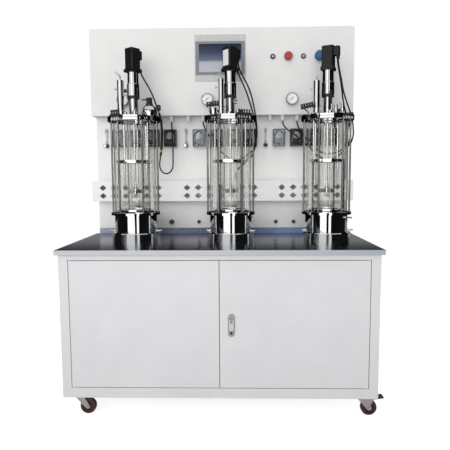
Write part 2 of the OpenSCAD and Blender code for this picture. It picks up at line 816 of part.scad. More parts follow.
module drive_motors() {
    m = motor_a / 2;
    f = m + 4;
    c = 5;
    color([0.06, 0.06, 0.06])
    at_vessels() rotate(motor_turn[$vessel]) {
        translate([0, 0, seal_top_z]) {
            block(-f, f, -f, f, 0, motor_flange);
            translate([0, 0, motor_flange]) linear_extrude(motor_l)
            polygon([[-m, -m + c], [-m + c, -m], [m - c, -m], [m, -m + c], [m, m - c],
                [m - c, m], [-m + c, m], [-m, m - c]]);
            for (x = [6 - f, f - 6]) for (y = [6 - f, f - 6]) rod_z(x, y, motor_flange, 4, 5);
        }
        mid = $vessel == 0 ? plug_shift : 0;
        block(m - 1, m + plug_out, mid - 17, mid + 17, plug_z, plug_z + plug_h);
        for (y = $vessel == 0 ? [plug_shift] : [-8, 8]) difference() {
            rod_z(plug_x, y, plug_z - 16, socket_r, 16);
            rod_z(plug_x, y, plug_z - 16 - e, lead_r + lead_air, 15);
        }
    }
}

module condensers() {
    color([0.78, 0.79, 0.80])
    at_vessels() translate([0, 0, lid_z]) condenser(condensers_at[$vessel]);
}

// A condenser at c: its place, its radius and how much shorter it is.
module condenser(c) {
    top = condenser_up + condenser_l - c[3];
    translate([c[0], c[1], 0]) {
        rod_z(0, 0, 0, 12, 5);
        rod_z(0, 0, 0, 8, condenser_up + 1);
        rod_z(0, 0, condenser_up, c[2], top - condenser_up);
        rod_z(0, 0, top, c[2] - 4, 3);
        if ($vessel < 2) gooseneck(top + 3, goosenecks[$vessel]);
        else rod_z(0, 0, top, 3, 24);
        translate([0, 0, top - 42]) rotate([0, -90, 0]) {
            cylinder(r = 3.5, h = 34);
            translate([0, 0, 24]) cylinder(r = 6, h = 7);
        }
        translate([0, 0, 46]) rotate([0, 90, 20]) cylinder(r = 3.5, h = c[2] + 7);
    }
}

// A bent outlet of bend radius g[0] and radius g[1], from the height z.
module gooseneck(z, g) {
    rod_z(0, 0, z - 1, g[1], 8);
    translate([-g[0], 0, z + 7]) rotate([90, 0, 0]) rotate_extrude(angle = 80)
    translate([g[0], 0]) circle(r = g[1]);
}

// A probe through the head plate, with its nut and cap.
module probe() {
    rod_z(0, 0, base_top + 160, probe_r, lid_z - base_top - 160 + 10);
    translate([0, 0, lid_z]) cylinder(r = 12, h = 14, $fn = 6);
    rod_z(0, 0, lid_z + 14, 9, 26);
}

// A row of five capped feed ports on an inclined bar, up above the plate, with a slanted leg
// whose foot is at x = foot.
module feed_manifold(l, tilt, up, foot) {
    reach = foot + l / 2 - 8;
    rod_z(foot, 0, lid_z, 10, 6);
    translate([foot, 0, lid_z + 3]) rotate([0, -atan(reach / (up - 3)), 0])
    cylinder(r = 4, h = norm([reach, up - 3]));
    translate([0, 0, lid_z + up]) rotate([0, -tilt, 0]) {
        translate([-l / 2, 0, 0]) rotate([0, 90, 0]) cylinder(r = 6.5, h = l);
        for (i = [-2:2]) {
            rod_z(i * l / 5, 0, 0, 4, 11);
            rod_z(i * l / 5, 0, 9, 6, 9);
            rod_z(i * l / 5, 0, -10, 3.5, 10);
        }
    }
}

// A row of five ports with caps and nipples on a bar outside the rim, at the turn a, on an arm.
module side_manifold(a, l, z, up, down) {
    rotate(a) translate([side_r, 0, lid_z]) {
        block(-30, 4, 12, 24, 0, 5);
        block(-4, 4, 12, 24, z, 5);
        translate([0, -l / 2, z]) rotate([-90, 0, 0]) cylinder(r = 5.5, h = l);
        for (i = [-2:2]) translate([0, i * l / 5.4, z]) {
            rod_z(0, 0, 0, 3.5, up);
            rod_z(0, 0, up - 9, 4.6, 9);
            rod_z(0, 0, -down, 3, down);
            rod_z(0, 0, 3 - down, 4.6, 10);
        }
    }
}

module clamp_port(r, l) {
    rod_z(0, 0, lid_z, r - 4, l);
    rod_z(0, 0, lid_z + l * 0.4, r, 8);
    rod_z(0, 0, lid_z + l, r - 2, 4);
}

// A domed filter housing with a ribbed knob on top, a bar handle and a star knob at the side.
module dome_port() {
    seat = 20;
    rod_z(0, 0, lid_z, dome_r - 8, 10);
    rod_z(0, 0, lid_z + 10, dome_r, seat - 10);
    translate([0, 0, lid_z + seat]) {
        difference() {
            sphere(r = dome_r);
            translate([-dome_r - 1, -dome_r - 1, -2 * dome_r - 2]) cube(2 * dome_r + 2);
        }
        rod_z(0, 0, dome_r - 4, 19, 9);
        rod_z(0, 0, dome_r - 2, 10, 38);
        for (z = [8, 18, 28]) rod_z(0, 0, dome_r + z, 15.5, 7);
        translate([0, 0, dome_r + 26]) rotate([0, -90, 0]) cylinder(r = 3.5, h = 40);
        translate([0, 0, 24]) rotate([0, 90, 0]) {
            cylinder(r = 5, h = 46);
            translate([0, 0, 40]) cylinder(r = 15, h = 18, $fn = 10);
        }
    }
}

// A clamping knob that stands out from the rim, at the turn a.
module rim_knob(a) {
    rotate(a) translate([head_r, 0, lid_z - head_t]) rotate([0, 90, 0]) {
        cylinder(r = 4, h = 6);
        translate([0, 0, 5]) cylinder(r = 8.5, h = 11);
    }
}

module head_fittings() {
    color([0.70, 0.71, 0.72])
    at_vessels() {
        for (a = probe_turn) rotate(a) translate([probe_at, 0, 0]) probe();
        rotate(dip_turn[0]) rod_z(dip_at, 0, cage_foot + 60, dip_r, lid_z - cage_foot - 20);
        if ($vessel == 0) {
            side_manifold(-119, 62, -1, 25, 27);
            translate([92, -45, 0]) dome_port();
            translate([24, -92, 0]) clamp_port(13, 20);
            translate([-24, -94, 0]) clamp_port(11, 12);
            for (a = [-63, -50]) rim_knob(a);
        } else if ($vessel == 1) {
            translate([-86, -64, 0]) {
                rod_z(0, 0, lid_z, 12, 10);
                rod_z(0, 0, lid_z + 6, 20, 32);
            }
            translate([-90, -36, 0]) feed_manifold(70, 6, 58, -8);
            side_manifold(-60, 82, 1, 21, 20);
            translate([-4, -88, 0]) clamp_port(12, 12);
            translate([40, -78, 0]) clamp_port(9, 26);
            for (a = [-130, -116]) rim_knob(a);
        } else {
            translate([-117, -70, 0]) feed_manifold(68, 12, 40, 14);
            translate([8, -44, 0]) {
                rod_z(0, 0, lid_z, 11, 8);
                rod_z(0, 0, lid_z, 5.5, 128);
            }
            translate([8, -72, 0]) clamp_port(9, 46);
            translate([30, -70, 0]) clamp_port(12, 44);
            translate([66, -52, 0]) clamp_port(12, 56);
            translate([-6, -98, 0]) clamp_port(11, 14);
            side_manifold(-52, 62, -12, 12, 14);
        }
    }
}

// A pipe with a ring at its foot that blows air under the turbine.
module spargers() {
    z = cage_foot + 18;
    ring_r = 30;
    color([0.70, 0.71, 0.72])
    at_vessels() rotate(dip_turn[1]) {
        rod_z(dip_at, 0, z, dip_r, lid_z + 18 - z);
        translate([ring_r, 0, z + dip_r]) rotate([0, 90, 0]) cylinder(r = 3, h = dip_at - ring_r);
        translate([0, 0, z + dip_r]) rotate_extrude() translate([ring_r, 0]) circle(r = dip_r);
    }
}

module stirrer(i) {
    color([0.76, 0.77, 0.78])
    translate([vessel_x[i], vessel_y, 0]) {
        foot = turbine_z - 14;
        top = seal_top_z - 1;
        rod_z(0, 0, foot, shaft_r, top - foot);
        rod_z(0, 0, top - 44, 13, 44);
        rod_z(0, 0, foot, 11, 28);
        rod_z(0, 0, turbine_z - 1.25, turbine_r - 14, 2.5);
        around(6, 0) block(turbine_r - 19, turbine_r, -1, 1, turbine_z - blade_h / 2,
            turbine_z + blade_h / 2);
    }
}

// ---- pumps, flowmeters and gauges

module pump_bodies() {
    y = wall_y - pump_d;
    color([0.13, 0.13, 0.14])
    for (x = pump_x) translate([x, 0, 0]) {
        difference() {
            block(-pump_w / 2, pump_w / 2, y, wall_y, pump_z - pump_h / 2, pump_z + pump_h / 2);
            rod_y(0, y - e, rotor_z, rotor_r + 5, pocket_d + e);
            block(-rotor_r - 5, rotor_r + 5, y - e, y + pocket_d, pump_z - pump_h / 2 + 10,
                rotor_z);
        }
        rod_y(0, y + 3, rotor_z, rotor_pin_r, pocket_d);
        rod_y(0, wall_y - 1, pump_z, 25, 80);
    }
}

module pump_rotor(i) {
    y = wall_y - pump_d + 4;
    roller_r = 6.5;
    color([0.62, 0.64, 0.66])
    translate([pump_x[i], 0, rotor_z]) difference() {
        union() {
            for (dy = [0, 21]) rod_y(0, y + dy, 0, rotor_r - 5, 3.5);
            rod_y(0, y, 0, 8, 24);
            for (a = [90, 210, 330])
                rod_y((rotor_r - roller_r) * cos(a), y + 1, (rotor_r - roller_r) * sin(a),
                    roller_r, 22);
        }
        rod_y(0, y - e, 0, rotor_pin_r + fit, 26);
    }
}

module flowmeters() {
    y = wall_y;
    a = meter_a / 2;
    color([0.60, 0.62, 0.63])
    for (g = group_x) translate([g - meter_gap, 0, meter_z]) {
        block(-a, a, y - meter_a, y, 0, meter_end);
        block(-a + 4, a - 4, y - meter_a + 4, y, meter_l - meter_end, meter_l - 5);
        rod_z(0, y - a, meter_l - 6, 4, 6);
        difference() {
            rod_z(0, y - a, meter_end, 5, meter_l - 2 * meter_end);
            rod_z(0, y - a, meter_end + 4, 3.5, meter_l - 2 * meter_end - 8);
        }
        rod_y(knob_dx, y - meter_a - knob_l + 2, meter_end / 2, knob_pin_r, knob_l - 1);
    }
}

module valve_knob(i) {
    y = wall_y - meter_a - air - knob_l;
    x = group_x[i] - meter_gap + knob_dx;
    color([0.80, 0.80, 0.80])
    difference() {
        union() {
            rod_y(x, y, knob_z, knob_r, knob_l - 5);
            rod_y(x, y, knob_z, knob_r - 4, knob_l);
        }
        rod_y(x, y + 2, knob_z, knob_pin_r + fit, knob_l);
    }
}

module pressure_gauges() {
    color([0.76, 0.77, 0.78])
    for (x = gauge_x) {
        difference() {
            union() {
                rod_y(x, face_y - gauge_d, gauge_z, gauge_r, gauge_d);
                rod_y(x, face_y - gauge_d, gauge_z, gauge_r + 2, 6);
            }
            rod_y(x, face_y - gauge_d - e, gauge_z, gauge_r - 2, 4);
        }
        rod_y(x, face_y - 1, gauge_z, stud_r, 30);
    }
}

// ---- controls

module stop_button() {
    color([0.80, 0.16, 0.16])
    push_button(stop_x, stop_r, 12);
}

module blue_button() {
    color([0.13, 0.27, 0.45])
    push_button(blue_x, blue_r, 14);
}

// A mushroom button that slides in its collar.
module push_button(x, r, t) {
    y = face_y - collar_t - travel - air;
    rod_y(x, y - t + 4, button_z, r, t - 4);
    rod_y(x, y - t, button_z, r - 5, t);
    rod_y(x, y - 1, button_z, stem_r, travel + collar_t + 24);
}

module key_barrel(i) {
    color([0.78, 0.78, 0.78])
    difference() {
        rod_y(key_x[i], face_y - collar_t - 3, button_z, barrel_r, collar_t + 30);
        block(key_x[i] - 0.8, key_x[i] + 0.8, face_y - collar_t - 4, face_y - collar_t + 2,
            button_z - 4.5, button_z + 4.5);
    }
}

// A cord gland of radius r that points down from z.
module gland(x, y, z, l) {
    difference() {
        union() {
            translate([x, y, z - 6]) cylinder(r = gland_r + 2, h = 6, $fn = 6);
            rod_z(x, y, z - l, gland_r, l - 5);
            rod_z(x, y, z - l - 4, gland_r - 3, 5);
        }
        rod_z(x, y, z - l - 4 - e, lead_r + lead_air, l + 4 + 2 * e);
    }
}

module panel_fittings() {
    color([0.82, 0.83, 0.82]) {
        for (x = gland_x) gland(x, gland_y, box_z, gland_l);
        translate([rail_gland[0], rail_gland[1], rail_z + rail_h]) rotate([180, 0, 0])
        gland(0, 0, 0, 14);
    }
    color([0.08, 0.08, 0.08]) {
        for (i = [0:1]) button_collar(key_x[i], barrel_r);
        for (x = [stop_x, blue_x]) button_collar(x, stem_r);
        for (i = [0:3]) difference() {
            union() {
                rod_y(port_x[i], wall_y - 3, port_z, port_r + 5, 3);
                rod_y(port_x[i], wall_y - (i == 0 ? 34 : 16), port_z, port_r, 50);
                if (i == 0) rod_y(port_x[i], wall_y - 28, port_z, port_r + 4, 16);
            }
            rod_y(port_x[i], wall_y - 35, port_z, 4, 86);
        }
    }
}

module button_collar(x, r) {
    difference() {
        rod_y(x, face_y - collar_t, button_z, collar_r, collar_t);
        rod_y(x, face_y - collar_t - e, button_z, r + fit, collar_t + 2 * e);
    }
}

// Three motor drives, a power supply and a controller on a plate in the control box, and an air
// pump and three water heaters on the cabinet's floor.
module inner_units() {
    back = y_back - sheet_t;
    floor_z = cab_z + cab_t;
    color([0.45, 0.47, 0.50]) {
        block(-560, 560, back - 10, back - 8, box_z + 40, box_z + 420);
        for (x = [-540, 540]) for (z = [box_z + 60, box_z + 400]) rod_y(x, back - 9, z, 6, 9);
        for (i = [0:2]) block(-500 + 80 * i, -444 + 80 * i, back - 140, back - 10, box_z + 120,
            box_z + 280);
        block(-200, -80, back - 60, back - 10, box_z + 120, box_z + 340);
        block(180, 330, back - 85, back - 10, box_z + 140, box_z + 240);
        for (x = [-520, 60, 480]) {
            block(x - 90, x + 90, y_back - 310, y_back - 70, floor_z, floor_z + 200);
            rod_z(x, y_back - 190, floor_z + 200, 30, 40);
        }
        block(-300, -120, y_back - 290, y_back - 110, floor_z, floor_z + 120);
        rod_z(-210, y_back - 200, floor_z + 120, 45, 30);
    }
}

// ---- leads

module motor_leads() {
    color([0.05, 0.05, 0.05])
    for (p = [lead_1, lead_2, lead_3, lead_4, lead_5]) cord(p, lead_r);
}

cabinet_body();
worktop();
rear_housing();
control_box();
hose_rail();
touch_panel();
vessel_bases();
glass_vessels();
head_plates();
head_gaskets();
tie_rods();
baffle_cages();
seal_housings();
drive_motors();
condensers();
head_fittings();
spargers();
pump_bodies();
flowmeters();
pressure_gauges();
panel_fittings();
castor_plates();
inner_units();
motor_leads();
left_door();
right_door();
latch_plate();
latch_spindle();
latch_handle();
castor_fork(0);  // castor_fork_1
castor_fork(1);  // castor_fork_2
castor_fork(2);  // castor_fork_3
castor_fork(3);  // castor_fork_4
castor_wheel(0);  // castor_wheel_1
castor_wheel(1);  // castor_wheel_2
castor_wheel(2);  // castor_wheel_3
castor_wheel(3);  // castor_wheel_4
brake_pedal();
stirrer(0);  // stirrer_1
stirrer(1);  // stirrer_2
stirrer(2);  // stirrer_3
stop_button();
blue_button();
key_barrel(0);  // key_barrel_1
key_barrel(1);  // key_barrel_2
valve_knob(0);  // valve_knob_1
valve_knob(1);  // valve_knob_2
valve_knob(2);  // valve_knob_3
pump_rotor(0);  // pump_rotor_1
pump_rotor(1);  // pump_rotor_2
pump_rotor(2);  // pump_rotor_3
pump_rotor(3);  // pump_rotor_4
pump_rotor(4);  // pump_rotor_5
pump_rotor(5);  // pump_rotor_6
pump_rotor(6);  // pump_rotor_7
pump_rotor(7);  // pump_rotor_8
pump_rotor(8);  // pump_rotor_9
pump_rotor(9);  // pump_rotor_10
pump_rotor(10);  // pump_rotor_11
pump_rotor(11);  // pump_rotor_12
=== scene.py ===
# Bench bioreactor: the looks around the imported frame, in metres.
import json
import math

import bpy
from mathutils import Matrix, Vector


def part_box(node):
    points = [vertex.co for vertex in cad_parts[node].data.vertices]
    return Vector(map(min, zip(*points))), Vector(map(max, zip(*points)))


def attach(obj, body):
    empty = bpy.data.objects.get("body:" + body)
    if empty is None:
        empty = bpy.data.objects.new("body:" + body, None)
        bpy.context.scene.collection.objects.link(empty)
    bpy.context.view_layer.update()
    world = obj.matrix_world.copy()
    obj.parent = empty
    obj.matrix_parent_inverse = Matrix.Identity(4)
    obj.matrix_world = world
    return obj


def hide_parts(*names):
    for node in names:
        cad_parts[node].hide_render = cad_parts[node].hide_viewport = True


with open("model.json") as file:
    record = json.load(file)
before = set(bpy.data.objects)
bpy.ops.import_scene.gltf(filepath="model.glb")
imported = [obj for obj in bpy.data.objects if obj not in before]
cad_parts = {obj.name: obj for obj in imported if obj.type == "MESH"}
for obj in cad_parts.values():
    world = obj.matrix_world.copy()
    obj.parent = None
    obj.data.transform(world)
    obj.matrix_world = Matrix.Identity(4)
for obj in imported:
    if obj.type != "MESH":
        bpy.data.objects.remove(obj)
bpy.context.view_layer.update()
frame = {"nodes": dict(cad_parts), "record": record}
nodes = frame["nodes"]
scene = bpy.context.scene
mm = 0.001
jointPlace = {joint["name"]: Vector(joint["pos_m"])
              for joint in frame["record"]["behaviour"]["joints"] if "pos_m" in joint}
axes = [jointPlace[f"stirrer_turn_{number}"] for number in (1, 2, 3)]
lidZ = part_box("head_plates")[1][2]
print("frame loaded:", len(nodes), "nodes")


# --- camera

view = {
    "place": (0.0838, -2.6122, 1.1235),
    "turn": 1.391,       # degrees to the left
    "tip": -5.490,       # degrees, downwards
    "roll": 0.310,
    "lens": 38.96,
    "sensor": 36.0,
    "clip": (0.05, 60),
}


def addCamera():
    data = bpy.data.cameras.new("camera")
    data.lens = view["lens"]
    data.sensor_width = view["sensor"]
    data.clip_start, data.clip_end = view["clip"]
    camera = bpy.data.objects.new("camera", data)
    scene.collection.objects.link(camera)
    turns = [Matrix.Rotation(math.radians(view[key]), 4, axis)
             for key, axis in (("turn", "Z"), ("tip", "X"), ("roll", "Y"))]
    upright = Matrix.Rotation(math.radians(90), 4, "X")
    place = Matrix.Translation(view["place"])
    camera.matrix_world = place @ turns[0] @ turns[1] @ turns[2] @ upright
    scene.camera = camera


addCamera()
scene.view_settings.view_transform = "Standard"


# --- motor leads: each route's points are the same as in the part's source, in millimetres

leads = {
    "diameter": 8 * mm,
    "node": "motor_leads",
    "sleeveOn": "left_motor_lead",
    "sleeve": 6.5 * mm,                 # radius
    "sleeveRun": (7, 12),               # the points of its lead that it covers
    "tieShare": 0.86,                   # the tie's place along the sleeve
    "tie": (2 * mm, 9 * mm, 0.6 * mm),  # height over the sleeve, length and bevel
    "routes": {
        "left_motor_lead": (0.988, [
            (-439.5, 64.3, 1750), (-439.5, 64.3, 1728), (-432, 66, 1692), (-411, 69, 1650),
            (-389, 74, 1612), (-371, 80, 1572), (-355, 87, 1526), (-339, 92, 1478),
            (-329, 96, 1430), (-326, 98, 1370), (-330, 102, 1300), (-339, 106, 1240),
            (-344, 109, 1198), (-339, 113, 1174), (-327, 124, 1157), (-311, 139, 1151),
            (-295, 153, 1157), (-283, 164, 1174), (-278, 168, 1198), (-277, 171, 1250),
            (-277, 176, 1310), (-280, 185, 1362), (-284, 195, 1404), (-286, 201, 1432),
            (-286, 202, 1448), (-286, 202, 1462)]),
        "middle_motor_power": (0.942, [
            (94, 47, 1750), (94, 47, 1728), (102, 51, 1698), (121, 58, 1662), (143, 66, 1622),
            (160, 73, 1580), (173, 81, 1535), (183, 87, 1488), (191, 92, 1440), (196, 98, 1390),
            (193, 107, 1332), (180, 119, 1288), (154, 134, 1254), (114, 149, 1230),
            (68, 158, 1226), (18, 164, 1252), (-28, 171, 1302), (-66, 182, 1358),
            (-94, 195, 1406), (-105, 201, 1432), (-106, 202, 1448), (-106, 202, 1462)]),
        "middle_motor_signal": (0.721, [
            (84, 59, 1750), (84, 59, 1728), (89, 63, 1698), (104, 70, 1660), (124, 78, 1620),
            (141, 85, 1580), (156, 92, 1535), (171, 99, 1488), (185, 105, 1438),
            (194, 112, 1380), (190, 122, 1310), (172, 138, 1254), (144, 156, 1216),
            (114, 174, 1192), (92, 194, 1172), (82, 210, 1150), (80, 216, 1130),
            (80, 216, 1114)]),
        "right_motor_power": (0.992, [
            (608, -8, 1750), (608, -8, 1728), (614, -3, 1694), (628, 13, 1640), (643, 38, 1584),
            (655, 62, 1536), (669, 83, 1494), (687, 98, 1452), (702, 106, 1405),
            (708, 112, 1350), (697, 124, 1296), (662, 140, 1250), (606, 155, 1228),
            (548, 163, 1240), (500, 167, 1280), (456, 172, 1328), (412, 181, 1366),
            (375, 192, 1394), (353, 200, 1420), (346, 202, 1444), (345, 202, 1464)]),
        "right_motor_signal": (0.906, [
            (615, 7, 1750), (615, 7, 1728), (621, 12, 1694), (636, 26, 1640), (652, 46, 1584),
            (671, 64, 1538), (691, 78, 1494), (709, 89, 1450), (719, 97, 1400), (722, 105, 1352),
            (710, 125, 1306), (668, 147, 1273), (606, 162, 1256), (552, 170, 1270),
            (504, 175, 1310), (466, 183, 1356), (440, 194, 1398), (429, 201, 1428),
            (427, 202, 1446), (427, 202, 1464)]),
    },
}


# --- finishes

def newFinish(name, color=(0.8, 0.8, 0.8), metallic=0.0, roughness=0.5):
    finish = bpy.data.materials.new(name)
    finish.use_nodes = True
    tree = finish.node_tree
    shader = tree.nodes["Principled BSDF"]
    shader.inputs["Base Color"].default_value = (*color, 1)
    shader.inputs["Metallic"].default_value = metallic
    shader.inputs["Roughness"].default_value = roughness
    return finish, tree, shader


# noise in the object's own place, scale is in cycles for each metre
def pattern(tree, scale, detail, stretch=(1, 1, 1)):
    place = tree.nodes.new("ShaderNodeTexCoord")
    fit = tree.nodes.new("ShaderNodeMapping")
    fit.inputs["Scale"].default_value = [scale * part for part in stretch]
    tree.links.new(place.outputs["Object"], fit.inputs["Vector"])
    texture = tree.nodes.new("ShaderNodeTexNoise")
    texture.inputs["Detail"].default_value = detail
    tree.links.new(fit.outputs["Vector"], texture.inputs["Vector"])
    return texture.outputs["Fac"]


# low where the source is at its start, high at its end
def between(tree, source, low, high, start=0.3, end=0.7):
    step = tree.nodes.new("ShaderNodeMapRange")
    for key, value in (("From Min", start), ("From Max", end), ("To Min", low), ("To Max", high)):
        step.inputs[key].default_value = value
    tree.links.new(source, step.inputs["Value"])
    return step.outputs["Result"]


# stops are places from 0 to 1, each with its color
def tones(tree, source, stops):
    ramp = tree.nodes.new("ShaderNodeValToRGB")
    marks = ramp.color_ramp.elements
    while len(marks) < len(stops):
        marks.new(0.5)
    for mark, (at, color) in zip(marks, stops):
        mark.position = at
        mark.color = (*color, 1)
    tree.links.new(source, ramp.inputs["Fac"])
    return ramp.outputs["Color"]


def relief(tree, shader, source, depth):
    bump = tree.nodes.new("ShaderNodeBump")
    bump.inputs["Strength"].default_value = 0.5
    bump.inputs["Distance"].default_value = depth
    tree.links.new(source, bump.inputs["Height"])
    tree.links.new(bump.outputs["Normal"], shader.inputs["Normal"])


# color and shade mix in patches, rough is the range of roughness, grain and depth make the relief
coats = {
    # the cabinet's coat is the housing's white paint made darker: painted shade against the
    # stronger front light on the cabinet and its doors
    "cabinetPaintWithPaintedShade": {"color": (0.675, 0.68, 0.69), "shade": (0.65, 0.655, 0.665), "patch": 1.6,
                     "rough": (0.34, 0.46), "grain": 420, "depth": 0.00006},
    "housingPaint": {"color": (0.73, 0.725, 0.715), "shade": (0.70, 0.695, 0.685), "patch": 1.4,
                     "rough": (0.34, 0.46), "grain": 420, "depth": 0.00006},
    # the wall's coat is the same white paint made lighter: painted light against the shade that the
    # vessels and the control box cast on the wall
    "wallPaintWithPaintedLight": {"color": (0.81, 0.805, 0.795), "shade": (0.78, 0.775, 0.765), "patch": 1.4,
                  "rough": (0.34, 0.46), "grain": 420, "depth": 0.00006},
    "railPaint": {"color": (0.83, 0.828, 0.822), "shade": (0.80, 0.798, 0.79), "patch": 2.0,
                  "rough": (0.34, 0.44), "grain": 420, "depth": 0.00006},
    "motorCoat": {"color": (0.005, 0.0048, 0.0045), "shade": (0.011, 0.010, 0.0095), "patch": 24,
                  "rough": (0.34, 0.52), "grain": 900, "depth": 0.00010},
    "pumpMoulding": {"color": (0.034, 0.032, 0.030), "shade": (0.060, 0.057, 0.054), "patch": 30,
                     "rough": (0.30, 0.48), "grain": 1100, "depth": 0.00008},
    "blackMoulding": {"color": (0.012, 0.012, 0.012), "shade": (0.028, 0.027, 0.026), "patch": 40,
                      "rough": (0.34, 0.55), "grain": 1200, "depth": 0.00008},
    "leadSheath": {"color": (0.010, 0.010, 0.010), "shade": (0.022, 0.021, 0.020), "patch": 30,
                   "rough": (0.38, 0.55), "grain": 800, "depth": 0.00008},
    "paleNylon": {"color": (0.66, 0.67, 0.66), "shade": (0.58, 0.59, 0.58), "patch": 35,
                  "rough": (0.35, 0.50), "grain": 900, "depth": 0.00008},
    "rotorMoulding": {"color": (0.40, 0.42, 0.44), "shade": (0.30, 0.32, 0.34), "patch": 40,
                      "rough": (0.30, 0.45), "grain": 1000, "depth": 0.00006},
    "panelMoulding": {"color": (0.205, 0.215, 0.24), "shade": (0.18, 0.19, 0.21), "patch": 12,
                      "rough": (0.36, 0.50), "grain": 1300, "depth": 0.00008},
    "panelPlate": {"color": (0.52, 0.52, 0.515), "shade": (0.47, 0.47, 0.465), "patch": 8,
                   "rough": (0.32, 0.44), "grain": 500, "depth": 0.00006},
    "stopMoulding": {"color": (0.40, 0.045, 0.045), "shade": (0.33, 0.032, 0.034), "patch": 40,
                     "rough": (0.22, 0.36), "grain": 900, "depth": 0.00005},
    "blueMoulding": {"color": (0.030, 0.12, 0.30), "shade": (0.022, 0.095, 0.24), "patch": 40,
                     "rough": (0.22, 0.36), "grain": 900, "depth": 0.00005},
    "wheelNylon": {"color": (0.060, 0.022, 0.018), "shade": (0.035, 0.014, 0.012), "patch": 60,
                   "rough": (0.34, 0.58), "grain": 700, "depth": 0.00012},
    "dialCard": {"color": (0.66, 0.66, 0.655), "shade": (0.62, 0.62, 0.615), "patch": 30,
                 "rough": (0.50, 0.62), "grain": 1500, "depth": 0.00003},
    "earthYellow": {"color": (0.66, 0.62, 0.10), "shade": (0.40, 0.50, 0.10), "patch": 90,
                    "rough": (0.34, 0.50), "grain": 900, "depth": 0.00006},
    "unitCoat": {"color": (0.17, 0.18, 0.20), "shade": (0.12, 0.13, 0.15), "patch": 8,
                 "rough": (0.40, 0.55), "grain": 500, "depth": 0.00010},
    # the next two coats are one latch finish: the handle's lighter copy is painted light and the
    # plate's and spindle's darker copy is painted shade, so that the handle stands out from its
    # plate
    "gripPaintWithPaintedLight": {"color": (0.60, 0.60, 0.61), "shade": (0.54, 0.54, 0.55), "patch": 14,
                  "rough": (0.20, 0.32), "grain": 500, "depth": 0.00005},
    "latchPaintWithPaintedShade": {"color": (0.36, 0.36, 0.37), "shade": (0.30, 0.30, 0.31), "patch": 14,
                   "rough": (0.20, 0.32), "grain": 500, "depth": 0.00005},
    "portRing": {"color": (0.70, 0.72, 0.44), "shade": (0.60, 0.64, 0.36), "patch": 60,
                 "rough": (0.34, 0.46), "grain": 900, "depth": 0.00006},
    "plateFilm": {"color": (0.78, 0.78, 0.79), "shade": (0.70, 0.70, 0.72), "patch": 18,
                  "rough": (0.22, 0.34), "grain": 300, "depth": 0.00005},
    "floatMoulding": {"color": (0.05, 0.05, 0.055), "shade": (0.03, 0.03, 0.03), "patch": 90,
                      "rough": (0.30, 0.40), "grain": 900, "depth": 0.00003},
    "coverBlue": {"color": (0.36, 0.385, 0.41), "shade": (0.29, 0.31, 0.335), "patch": 26,
                  "rough": (0.22, 0.36), "grain": 900, "depth": 0.00005},
    "hoseSilicone": {"color": (0.56, 0.56, 0.53), "shade": (0.42, 0.42, 0.40), "patch": 60,
                     "rough": (0.25, 0.40), "grain": 900, "depth": 0.00005},
    "gasketRubber": {"color": (0.012, 0.012, 0.013), "shade": (0.02, 0.02, 0.02), "patch": 50,
                     "rough": (0.50, 0.65), "grain": 900, "depth": 0.00008},
}

# color and shade alternate along the brushing, which runs across the large numbers of stretch
metals = {
    "polishedSteel": {"color": (0.86, 0.86, 0.855), "shade": (0.78, 0.78, 0.775),
                      "rough": (0.025, 0.065), "stretch": (6, 6, 300), "depth": 0.000005},
    "shaftSteel": {"color": (0.74, 0.74, 0.75), "shade": (0.62, 0.62, 0.63),
                   "rough": (0.12, 0.22), "stretch": (6, 6, 500), "depth": 0.000010},
    "worktopSteel": {"color": (0.18, 0.20, 0.25), "shade": (0.15, 0.167, 0.21),
                     "rough": (0.17, 0.24), "stretch": (3, 260, 260), "depth": 0.000010},
    "zincPlate": {"color": (0.58, 0.58, 0.57), "shade": (0.40, 0.40, 0.40),
                  "rough": (0.30, 0.48), "stretch": (60, 60, 60), "depth": 0.000040},
    "satinChrome": {"color": (0.78, 0.78, 0.79), "shade": (0.70, 0.70, 0.71),
                    "rough": (0.30, 0.38), "stretch": (40, 40, 40), "depth": 0.000010},
    "darkChrome": {"color": (0.30, 0.30, 0.31), "shade": (0.22, 0.22, 0.23),
                   "rough": (0.16, 0.24), "stretch": (40, 40, 40), "depth": 0.000010},
    "baffleSteel": {"color": (0.34, 0.34, 0.34), "shade": (0.27, 0.27, 0.27),
                    "rough": (0.10, 0.16), "stretch": (6, 6, 300), "depth": 0.000010},
    "rodSteel": {"color": (0.40, 0.40, 0.40), "shade": (0.32, 0.32, 0.32),
                 "rough": (0.05, 0.10), "stretch": (6, 6, 300), "depth": 0.000005},
    "bladeSteel": {"color": (0.16, 0.16, 0.165), "shade": (0.11, 0.11, 0.115),
                   "rough": (0.20, 0.30), "stretch": (60, 60, 60), "depth": 0.000010},
    "brightChrome": {"color": (0.84, 0.84, 0.85), "shade": (0.76, 0.76, 0.77),
                     "rough": (0.04, 0.09), "stretch": (40, 40, 40), "depth": 0.000010},
}


def makeCoat(name, c):
    finish, tree, shader = newFinish(name)
    patches = pattern(tree, c["patch"], 5)
    mixed = tones(tree, patches, [(0.35, c["shade"]), (0.65, c["color"])])
    tree.links.new(mixed, shader.inputs["Base Color"])
    worn = pattern(tree, c["patch"] * 7, 4)
    tree.links.new(between(tree, worn, *c["rough"]), shader.inputs["Roughness"])
    relief(tree, shader, pattern(tree, c["grain"], 2), c["depth"])
    return finish


def makeMetal(name, m):
    finish, tree, shader = newFinish(name, metallic=1.0)
    lines = pattern(tree, 1, 6, m["stretch"])
    mixed = tones(tree, lines, [(0.35, m["shade"]), (0.65, m["color"])])
    tree.links.new(mixed, shader.inputs["Base Color"])
    tree.links.new(between(tree, lines, *m["rough"]), shader.inputs["Roughness"])
    relief(tree, shader, lines, m["depth"])
    return finish


def setGloss(name, level):
    shader = finishes[name].node_tree.nodes["Principled BSDF"]
    shader.inputs["Specular IOR Level"].default_value = level


finishes = {name: makeCoat(name, c) for name, c in coats.items()}
finishes.update({name: makeMetal(name, m) for name, m in metals.items()})
setGloss("leadSheath", 0.2)


